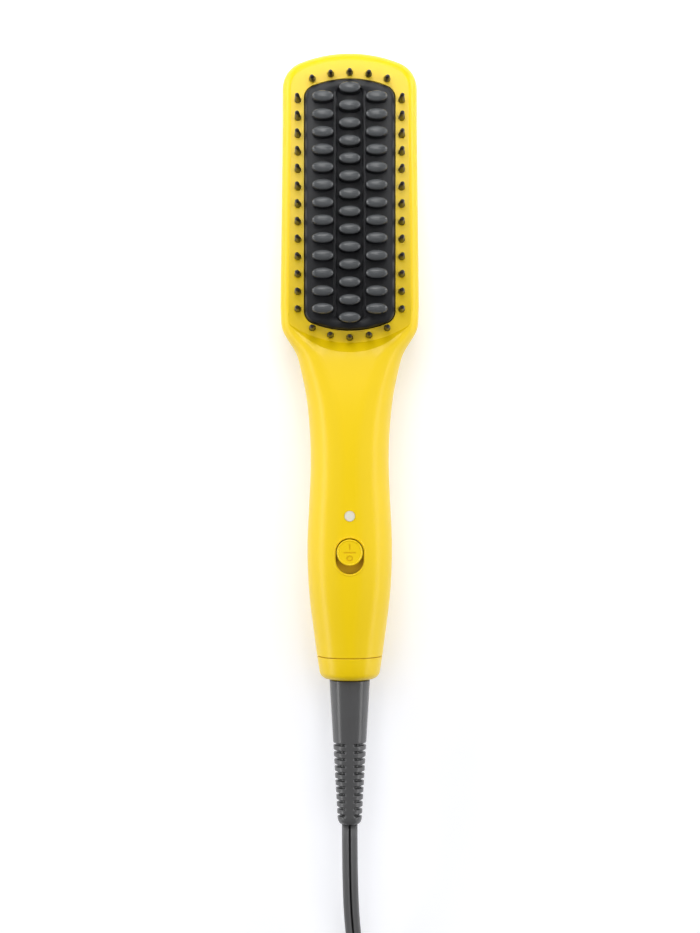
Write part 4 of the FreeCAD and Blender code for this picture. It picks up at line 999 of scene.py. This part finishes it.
@dataclass
class StrainRelief:
    """Soft boot that turns in the cap, ribbed on both sides between two smooth spines."""

    finishes: Finishes
    neck: tuple[Point2, ...] = ((-85.2, POLE), (-85.2, 8.0), (-87.2, 8.0), (-87.25, 5.0), (-90.45, 5.0))
    start: float = -90.45
    # Distance from the start, and how far the radius is drawn in there.
    edge: tuple[Point2, ...] = ((0.0, 0.5), (0.1, 0.15))
    knee: float = -113.7
    shoulder: float = -141.0
    tip: float = -145.0
    base_radius: float = 7.65
    knee_radius: float = 6.3
    end_radius: float = 4.7
    tip_radius: float = 3.0
    tip_power: float = 2.4
    first_groove: float = -114.6
    groove_pitch: float = 2.68
    groove_half: float = 0.45
    groove_depth: float = 1.0
    # Where a groove's flank begins and how long it is, in halves of the groove's width.
    flank: Point2 = (1.3, 0.55)
    grooves: int = 10
    spine: float = 1.45
    spine_slope: float = 0.8
    fine: int = 96
    plain_rings: int = 25
    plain_step: float = 0.9
    plain_start: float = 0.4
    groove_step: float = 0.15
    tip_steps: int = 12

    def radius(self, y: float) -> float:
        """Radius of the boot without its grooves.

        Args:
            y: Place along the brush.

        Returns:
            The radius in millimetres.
        """
        for near, far, thick, thin in ((self.start, self.knee, self.base_radius, self.knee_radius),
                                       (self.knee, self.shoulder, self.knee_radius, self.end_radius)):
            if y > far:
                return thick + (thin - thick) * (near - y) / (near - far)
        share = (self.shoulder - y) / (self.shoulder - self.tip)
        swell = math.sqrt(max(0.0, 1 - share ** self.tip_power))
        return self.tip_radius + (self.end_radius - self.tip_radius) * swell

    def depth(self, y: float, x: float) -> float:
        """Depth of the groove at a place.

        Args:
            y: Place along the brush.
            x: Place across the brush.

        Returns:
            The depth in millimetres.
        """
        row = round((self.first_groove - y) / self.groove_pitch)
        if not 0 <= row <= self.grooves:
            return 0.0
        off = abs(y - self.first_groove + row * self.groove_pitch) / self.groove_half
        lip, slope = self.flank
        return self.groove_depth * ease((lip - off) / slope) * ease((abs(x) - self.spine) / self.spine_slope)

    def places(self) -> list[float]:
        """Where the boot has its rings along the brush: wide apart on the plain part, and close in the grooves.

        Returns:
            The places in millimetres, from the cap to the tip.
        """
        plain = [self.start - self.plain_start - step * self.plain_step for step in range(self.plain_rings)]
        first = plain[-1] - self.plain_start
        count = int((first - self.shoulder) / self.groove_step)
        grooved = [first - step * self.groove_step for step in range(count)]
        tip = [self.shoulder + (self.tip - self.shoulder) * (step / self.tip_steps)
               for step in range(self.tip_steps + 1)]
        return plain + grooved + tip

    def build(self) -> list[Piece]:
        """Make the boot.

        Returns:
            The new piece.
        """
        edge = [(self.start - back, self.base_radius - inset) for back, inset in self.edge]
        rings = turned([*self.neck, *edge], self.fine)
        shade_shares = [0.0] * (len(rings) * self.fine)
        for y in self.places():
            full = self.radius(y)
            ring = []
            for rise, across in circle(self.fine):
                depth = self.depth(y, full * across)
                radius = full - depth
                # Painted shade darkens each point as far as it lies down in its groove.
                shade_shares.append(depth / self.groove_depth)
                ring.append(Vector((radius * across, y, AXIS_Z + radius * rise)) * MM)
            rings.append(ring)
        boot = self.finishes.dress(loft("strain_relief_boot", rings, sharp=70.0), Surface.BOOT_PVC)
        mark_groove_shade(boot, shade_shares)
        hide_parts("strain_relief")
        return [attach(boot, Body.SWIVEL.value)]


@dataclass
class CordTie:
    """Strap over one leg of the hank, down to the floor on both sides."""

    finishes: Finishes
    inner: float = 16.8
    outer: float = 27.0
    top: float = 17.7
    bend: float = 1.6
    y: float = -295.5
    half: float = 4.5
    thickness: float = 1.1
    edge: float = 0.25
    gap: float = 0.05

    def build(self) -> Piece:
        """Make the strap.

        Returns:
            The strap.
        """
        half, thick, edge = self.half, self.thickness, self.edge
        profile = ((-half, self.gap), (-half, thick - edge), (-half + edge, thick), (half - edge, thick),
                   (half, thick - edge), (half, self.gap))
        line = [Vector(point) for point in rounded([
            (self.inner, 0.0, 0), (self.inner, self.top, self.bend), (self.outer, self.top, self.bend),
            (self.outer, 0.0, 0)])]
        rings = [[Vector((here.x - ahead.y * rise, self.y + along, here.y + ahead.x * rise)) * MM
                  for along, rise in profile] for here, ahead in zip(line, headings(line))]
        return self.finishes.dress(loft("cord_strap", rings, sharp=35.0), Surface.STRAP)


@dataclass
class MainsPlug:
    """Moulded plug with a ribbed neck and two flat blades, each with a round tip and a hole."""

    finishes: Finishes
    # End of the cord.
    x: float
    y: float
    z: float
    # Place along the plug, width, height and corner radius of each section.
    neck: tuple[tuple[float, ...], ...] = ((0.0, 7.0, 5.6, 2.6), (0.5, 8.2, 6.8, 3.2))
    body: tuple[tuple[float, ...], ...] = (
        (9.4, 12.0, 9.6, 4.2), (11.0, 16.4, 11.6, 4.8), (13.5, 20.6, 13.0, 5.2), (17.0, 23.4, 14.2, 5.4),
        (22.0, 24.7, 14.9, 5.4), (32.8, 24.9, 14.96, 5.4), (33.6, 24.4, 14.5, 5.2), (34.0, 23.4, 13.5, 4.8))
    ribs: int = 4
    rib_start: float = 1.0
    rib_pitch: float = 2.0
    rib_width: float = 8.6
    rib_growth: float = 0.35
    flatness: float = 1.2
    # Place along a rib, inset and corner radius.
    rib_profile: tuple[Point3, ...] = ((0.0, 0.0, 3.4), (1.1, 0.0, 3.4), (1.3, 1.2, 2.9), (1.8, 1.2, 2.9))
    sides: int = 40
    blade_gap: float = 12.7
    blade_half: float = 3.2
    # Half its thickness at the edges and the hole, and at the chamfer.
    blade_faces: Point2 = (0.55, 0.75)
    blade_chamfer: float = 0.25
    blade_root: float = 0.4
    blade_sides: int = 32
    # Sine of the direction beyond which the outline runs along the root.
    root_sine: float = 0.7
    tip_stretch: float = 1.5
    hole: float = 1.6
    hole_y: float = -11.0

    def moulding(self) -> Piece:
        """Make the moulded body with its ribbed neck.

        Returns:
            The body.
        """
        sections = list(self.neck)
        for rib in range(self.ribs):
            for along, inset, corner in self.rib_profile:
                wide = self.rib_width + rib * self.rib_growth - inset
                sections.append((self.rib_start + rib * self.rib_pitch + along, wide, wide - self.flatness, corner))
        rings = [[Vector((self.x + across, self.y - along, self.z + rise)) * MM
                  for across, rise in oblong(wide / 2, tall / 2, corner, self.sides)]
                 for along, wide, tall, corner in (*sections, *self.body)]
        return self.finishes.dress(loft("plug_moulding", rings, sharp=45.0), Surface.GREY_PVC)

    def blade_edge(self, inset: float) -> list[Point2]:
        """Outline of a blade, square where it stands in the plug.

        Args:
            inset: How far the outline is drawn in.

        Returns:
            Height and place along the blade of each point, from its middle and its root.
        """
        half = self.blade_half - inset
        line = []
        for across, along in circle(self.blade_sides):
            reach = half / max(abs(across), abs(along))
            if along < 0:
                line.append((half * across, self.hole_y + half * self.tip_stretch * along))
            elif along > self.root_sine:
                line.append((reach * across, self.blade_root))
            else:
                line.append((reach * across, self.hole_y + reach * along))
        return line

    def blades(self) -> Piece:
        """Make the two blades.

        Returns:
            The blades, as one piece.
        """
        full, trimmed = self.blade_edge(0.0), self.blade_edge(self.blade_chamfer)
        hole = arc((0.0, self.hole_y), self.hole, 0.0, 2 * math.pi, self.blade_sides)
        inner, outer = self.blade_faces
        layers = ((-inner, hole), (-outer, trimmed), (-inner, full), (inner, full), (outer, trimmed), (inner, hole))
        root = self.y - self.body[-1][0]
        blades = [loft("blade_shape", [
            [Vector((middle + thick, root + along, self.z + rise)) * MM for rise, along in line]
            for thick, line in layers], caps=False, looped=True, sharp=30.0)
            for middle in (self.x - self.blade_gap / 2, self.x + self.blade_gap / 2)]
        return self.finishes.dress(joined("plug_contacts", blades), Surface.BRASS)


@dataclass
class MainsCord:
    """Flat twin cord from the strain relief to its plug, with its spare length in a tied hank."""

    finishes: Finishes
    width: float = 5.9
    thickness: float = 3.4
    web: float = 0.55
    lobe_gap: float = 0.08
    power: float = 2.6
    fine: int = 13
    lead: tuple[Point3, ...] = (
        (0.0, -145.0, 14.5), (0.0, -161.0, 14.5), (0.8, -185.0, 9.2), (4.0, -207.0, 4.4), (12.0, -226.0, 2.7),
        (20.5, -243.0, 3.0), (25.3, -262.0, 3.0))
    tail: tuple[Point3, ...] = (
        (25.3, -330.0, 14.2), (23.6, -348.0, 11.5), (18.4, -365.0, 8.0), (18.4, -382.0, 7.5))
    # The hank's places: distances from its middle, heights, and the column and layer of each turn.
    columns: tuple[float, ...] = (25.3, 21.9, 18.5)
    layers: tuple[float, ...] = (2.95, 8.85, 14.75)
    turns: tuple[tuple[int, int], ...] = (
        (0, 0), (1, 0), (2, 0), (2, 1), (2, 2), (1, 2), (1, 1), (0, 1), (0, 2))
    near_end: float = -265.0
    far_end: float = -326.0
    straight: float = 8.0
    arc_steps: int = 6
    leg_steps: int = 8
    smoothness: int = 6
    # Lengths of cord between which it turns on edge.
    twist_start: float = 75.0
    twist_end: float = 135.0

    def route(self) -> list[Vector]:
        """Place the control points of the whole cord.

        Returns:
            The points in metres, from the boot to the plug.
        """
        points = list(self.lead)
        # Control points lie outside the curve that they give, so those of the end turns stand this much further out.
        swell = 1 / math.cos(math.pi / self.arc_steps / 2)
        cells = [(self.columns[column], self.layers[layer]) for column, layer in self.turns]
        last = len(cells) - 1
        for turn, (radius, height) in enumerate(cells):
            if turn:
                points.append((radius, self.near_end - self.straight, height))
            points += [(radius, (self.near_end + self.far_end) / 2, height),
                       (radius, self.far_end + self.straight, height)]
            if turn == last:
                break
            points += self.half_turn(self.far_end, radius * swell, height, 0.0)
            after = cells[turn + 1]
            # Each turn crosses to its next place at another step of the far leg, so that the crossings don't meet.
            switch = 1 + round((self.leg_steps - 3) * (1 - turn / (last - 1)))
            for step in range(self.leg_steps):
                x, z = after if step >= switch else (radius, height)
                share = (step + 0.5) / self.leg_steps
                points.append((-x, self.far_end + (self.near_end - self.far_end) * share, z))
            points += self.half_turn(self.near_end, after[0] * swell, after[1], -math.pi)
        return [Vector(point) * MM for point in (*points, *self.tail)]

    def half_turn(self, y: float, radius: float, height: float, start: float) -> list[Point3]:
        """Control points of half a turn, clockwise from above, in millimetres."""
        plan = arc((0.0, y), radius, start, start - math.pi, self.arc_steps, 0.5)
        return [(x, along, height) for x, along in plan]

    def line(self) -> list[Vector]:
        """Follow the control points with a smooth line.

        Returns:
            Points of the line in metres.
        """
        route = self.route()
        curve = bpy.data.curves.new("cord_route", "CURVE")
        curve.dimensions = "3D"
        curve.resolution_u = self.smoothness
        spline = curve.splines.new("NURBS")
        spline.points.add(len(route) - 1)
        for point, place in zip(spline.points, route):
            point.co = (*place, 1.0)
        spline.order_u = 3
        spline.use_endpoint_u = True
        helper = add_object("cord_route", curve)
        mesh = bpy.data.meshes.new_from_object(helper.evaluated_get(bpy.context.evaluated_depsgraph_get()))
        points = [vertex.co.copy() for vertex in mesh.vertices]
        discard(helper)
        return points

    def section(self) -> list[Point3]:
        """Outline the twin section: two full lobes with a web between them.

        Returns:
            Place across, place through and share of painted groove shade of each point.
        """
        lobe = self.width / 4 + self.lobe_gap
        half = self.width / 2 - lobe
        reach = math.pi - math.asin((2 * self.web / self.thickness) ** (self.power / 2))
        side = []
        for step in range(self.fine):
            turn = reach * (2 * step / (self.fine - 1) - 1)
            # The first and last points lie at the web, and get full painted shade.
            side.append((lobe + half * fuller(math.cos(turn), self.power),
                         self.thickness / 2 * fuller(math.sin(turn), self.power),
                         1.0 if step in (0, self.fine - 1) else 0.0))
        return side + [(-x, -z, share) for x, z, share in side]

    def build(self) -> list[Piece]:
        """Make the cord, its tie and its plug.

        Returns:
            The new pieces.
        """
        points = self.line()
        cord = self.tube(points)
        tie, end = CordTie(self.finishes).build(), MainsPlug(self.finishes, *self.tail[-1])
        plug, blades = end.moulding(), end.blades()
        for piece, node in ((tie, "cord_tie"), (plug, "plug_body"), (blades, "plug_blades")):
            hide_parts(node)
            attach(piece, Body.HOUSING.value)
        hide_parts("cord", "cord_hank", "cord_tail")
        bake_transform(cord)
        return [cord, tie, plug, blades]

    def tube(self, points: Sequence[Vector]) -> Piece:
        """Sweep the twin section along the line, level at the brush and on edge in the hank.

        Args:
            points: The line of the cord.

        Returns:
            The cord.
        """
        section = self.section()
        rings, run = [], 0.0
        for before, point, ahead in zip([points[0], *points], points, headings(points)):
            run += (point - before).length / MM
            level = ahead.cross(Vector((0, 0, 1))).normalized()
            rise = level.cross(ahead)
            turn = math.pi / 2 * ease((run - self.twist_start) / (self.twist_end - self.twist_start))
            wide = level * math.cos(turn) + rise * math.sin(turn)
            thin = rise * math.cos(turn) - level * math.sin(turn)
            rings.append([point + (wide * x + thin * z) * MM for x, z, _ in section])
        cord = loft("mains_cord", rings, sharp=180.0)
        # The web between the cores gets a line of painted shade.
        mark_groove_shade(cord, [share for _ in rings for _, _, share in section])
        return self.finishes.dress(cord, Surface.CORD_PVC)


@dataclass
class Inside:
    """Pieces that stay as the solids give them."""

    finishes: Finishes
    nodes: dict[str, Piece]
    kept: dict[Surface, tuple[str, ...]] = field(default_factory=lambda: {
        Surface.DARK_PLASTIC: ("plate_carrier", "switch_body", "switch_lever", "power_triac", "control_chip",
                               "swivel_retainer", "swivel_rotor", "contact_holder"),
        Surface.ALUMINIUM: ("heating_elements", "heat_shield", "thermal_fuse"),
        Surface.AMBER_FILM: ("insulation_sheet",),
        Surface.STEEL: ("heater_clamp", "clamp_screws", "board_screws"),
        Surface.GLASS: ("thermistor",),
        Surface.SILICONE: ("heater_leads",),
        Surface.SOLDER_MASK: ("control_board",),
        Surface.DIPPED_CASE: ("supply_capacitor",),
        Surface.LENS: ("indicator_led", "led_lens"),
        Surface.BRASS: ("slip_rings", "contact_springs"),
    })

    def build(self) -> list[Piece]:
        """Give each of them its finish."""
        return [self.finishes.dress(self.nodes[name], surface)
                for surface, names in self.kept.items() for name in names]


@dataclass(frozen=True)
class Softbox:
    """An area light that faces the brush, or hangs level above it. Its size and place are in metres."""

    name: str
    place: Point3
    size: Point2
    watts: float
    mirrored: bool = True
    level: bool = False
    spread: float = 180.0

    def hang(self) -> None:
        """Make the light."""
        lamp = bpy.data.lights.new(self.name, "AREA")
        lamp.shape = "RECTANGLE"
        lamp.size, lamp.size_y = self.size
        lamp.energy = self.watts
        lamp.spread = math.radians(self.spread)
        hung = add_object(self.name, lamp)
        hung.location = self.place
        if not self.level:
            hung.rotation_euler = (-Vector(self.place)).to_track_quat("-Z", "Y").to_euler()
        hung.visible_glossy = self.mirrored


@dataclass
class Studio:
    """White floor, soft light from both sides and a camera straight above."""

    # Middle of the picture, where the camera stands along the brush, the height that it measures at and how far
    # above that it hangs.
    centre: Point2 = (0.1, -10.2)
    stand: float = 10.0
    plane: float = 15.0
    above: float = 820.0
    # Millimetres in a pixel at that height, pixels in the picture's height and width of the sensor.
    scale: float = 0.377
    frame_height: int = 933
    sensor: float = 36.0
    # In metres, half the floor's width and where its own glow starts and ends to rise, and its glow at the brush.
    floor_reach: float = 6.0
    sweep: Point2 = (0.35, 1.1)
    glow: float = 0.255
    ambient: float = 0.18
    lights: tuple[Softbox, ...] = (
        Softbox("key", (-0.015, 0.175, 0.38), (0.36, 0.15), 0.043, level=True, spread=32.0),
        Softbox("glint", (-0.05, 0.34, 0.42), (0.30, 0.10), 0.50),
        Softbox("fill_head", (-0.02, 0.20, 0.40), (0.3, 0.26), 0.33, mirrored=False),
        Softbox("fill_right", (0.60, 0.0, 0.85), (0.8, 0.8), 2.9, mirrored=False),
        Softbox("fill_left", (-0.60, 0.0, 0.85), (0.8, 0.8), 1.9, mirrored=False),
        Softbox("left_card", (-1.10, 0.0, 0.34), (1.6, 0.32), 5.8),
        Softbox("right_card", (1.10, 0.0, 0.32), (1.6, 0.30), 4.4),
        Softbox("head_card", (0.0, 1.0, 0.62), (1.2, 0.30), 3.0),
        Softbox("left_head_card", (-1.10, 0.42, 0.34), (0.5, 0.32), 1.7),
        Softbox("right_head_card", (1.10, 0.42, 0.32), (0.5, 0.30), 1.9),
    )

    def build(self) -> None:
        """Make the floor, the lights, the world and the camera."""
        self.floor()
        for light in self.lights:
            light.hang()
        self.world()
        self.camera()

    def floor(self) -> None:
        """Make the floor, white to the camera as a sweep of paper is, with the shadow on it."""
        mesh = bpy.data.meshes.new("floor")
        reach = self.floor_reach
        mesh.from_pydata([(-reach, -reach, 0), (reach, -reach, 0), (reach, reach, 0), (-reach, reach, 0)], [],
                         [(0, 1, 2, 3)])
        floor = add_object("floor", mesh)
        material = bpy.data.materials.new("white_floor")
        material.use_nodes = True
        tree = material.node_tree
        tree.nodes.clear()
        rays = add_node(tree, "ShaderNodeLightPath").outputs
        seen = add_node(tree, "ShaderNodeMath", {0: rays["Is Camera Ray"], 1: rays["Is Glossy Ray"]}, operation="ADD")
        shown = add_node(tree, "ShaderNodeMath", {0: seen.outputs[0], 1: rays["Is Transmission Ray"]},
                         operation="ADD", use_clamp=True)
        place = add_node(tree, "ShaderNodeTexCoord").outputs["Object"]
        away = add_node(tree, "ShaderNodeVectorMath", {0: place}, operation="LENGTH").outputs["Value"]
        near, far = self.sweep
        sweep = add_node(tree, "ShaderNodeMapRange", {
            "Value": away, "From Min": near, "From Max": far, "To Min": self.glow, "To Max": 1.0})
        lift = add_node(tree, "ShaderNodeMath", {0: shown.outputs[0], 1: sweep.outputs["Result"]},
                        operation="MULTIPLY")
        glow = add_node(tree, "ShaderNodeEmission", {"Color": linear("#FFFFFF"), "Strength": lift.outputs[0]})
        paint = add_node(tree, "ShaderNodeBsdfDiffuse", {"Color": linear("#EFF0F5")})
        both = add_node(tree, "ShaderNodeAddShader", {0: paint.outputs[0], 1: glow.outputs[0]})
        add_node(tree, "ShaderNodeOutputMaterial", {"Surface": both.outputs[0]})
        mesh.materials.append(material)

    def world(self) -> None:
        """Light the brush evenly from all round, in front of a white backdrop."""
        world = bpy.data.worlds.new("studio")
        bpy.context.scene.world = world
        world.use_nodes = True
        tree = world.node_tree
        tree.nodes.clear()
        seen = add_node(tree, "ShaderNodeLightPath").outputs["Is Camera Ray"]
        level = add_node(tree, "ShaderNodeMapRange", {"Value": seen, "To Min": self.ambient, "To Max": 1.0})
        glow = add_node(tree, "ShaderNodeBackground", {"Color": linear("#FFFFFF"), "Strength": level.outputs["Result"]})
        add_node(tree, "ShaderNodeOutputWorld", {"Surface": glow.outputs[0]})
        world.cycles_visibility.glossy = False

    def camera(self) -> None:
        """Set the camera straight above the foot of the head, with its lens shifted to frame the whole brush."""
        x, y = self.centre
        half = self.frame_height * self.scale / 2
        lens = bpy.data.cameras.new("camera")
        lens.sensor_width = self.sensor
        lens.lens = self.sensor / 2 * self.above / half
        lens.clip_start, lens.clip_end = 0.01, 50.0
        lens.shift_y = (y - self.stand) / (2 * half)
        camera = add_object("camera", lens)
        camera.location = Vector((x, self.stand, self.plane + self.above)) * MM
        bpy.context.scene.camera = camera


def main() -> None:
    """Build the brush and its studio."""
    logging.basicConfig(level=logging.INFO, format="%(message)s")
    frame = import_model()
    bpy.context.scene.view_settings.view_transform = "Standard"
    nodes = frame["nodes"]
    finishes, pattern = Finishes(), SpotPattern()
    Studio().build()
    builders: list[Callable[[], list[Piece]]] = [
        MainsCord(finishes).build,
        Housing(finishes, nodes).build,
        CombPlate(finishes, pattern).build,
        BristleRing(finishes, pattern).build,
        SlideButton(finishes).build,
        StrainRelief(finishes).build,
        Inside(finishes, nodes).build,
    ]
    for build in builders:
        for piece in build():
            LOG.info("%s: %d faces", piece.name, len(piece.data.polygons))


if __name__ == "__main__":
    main()
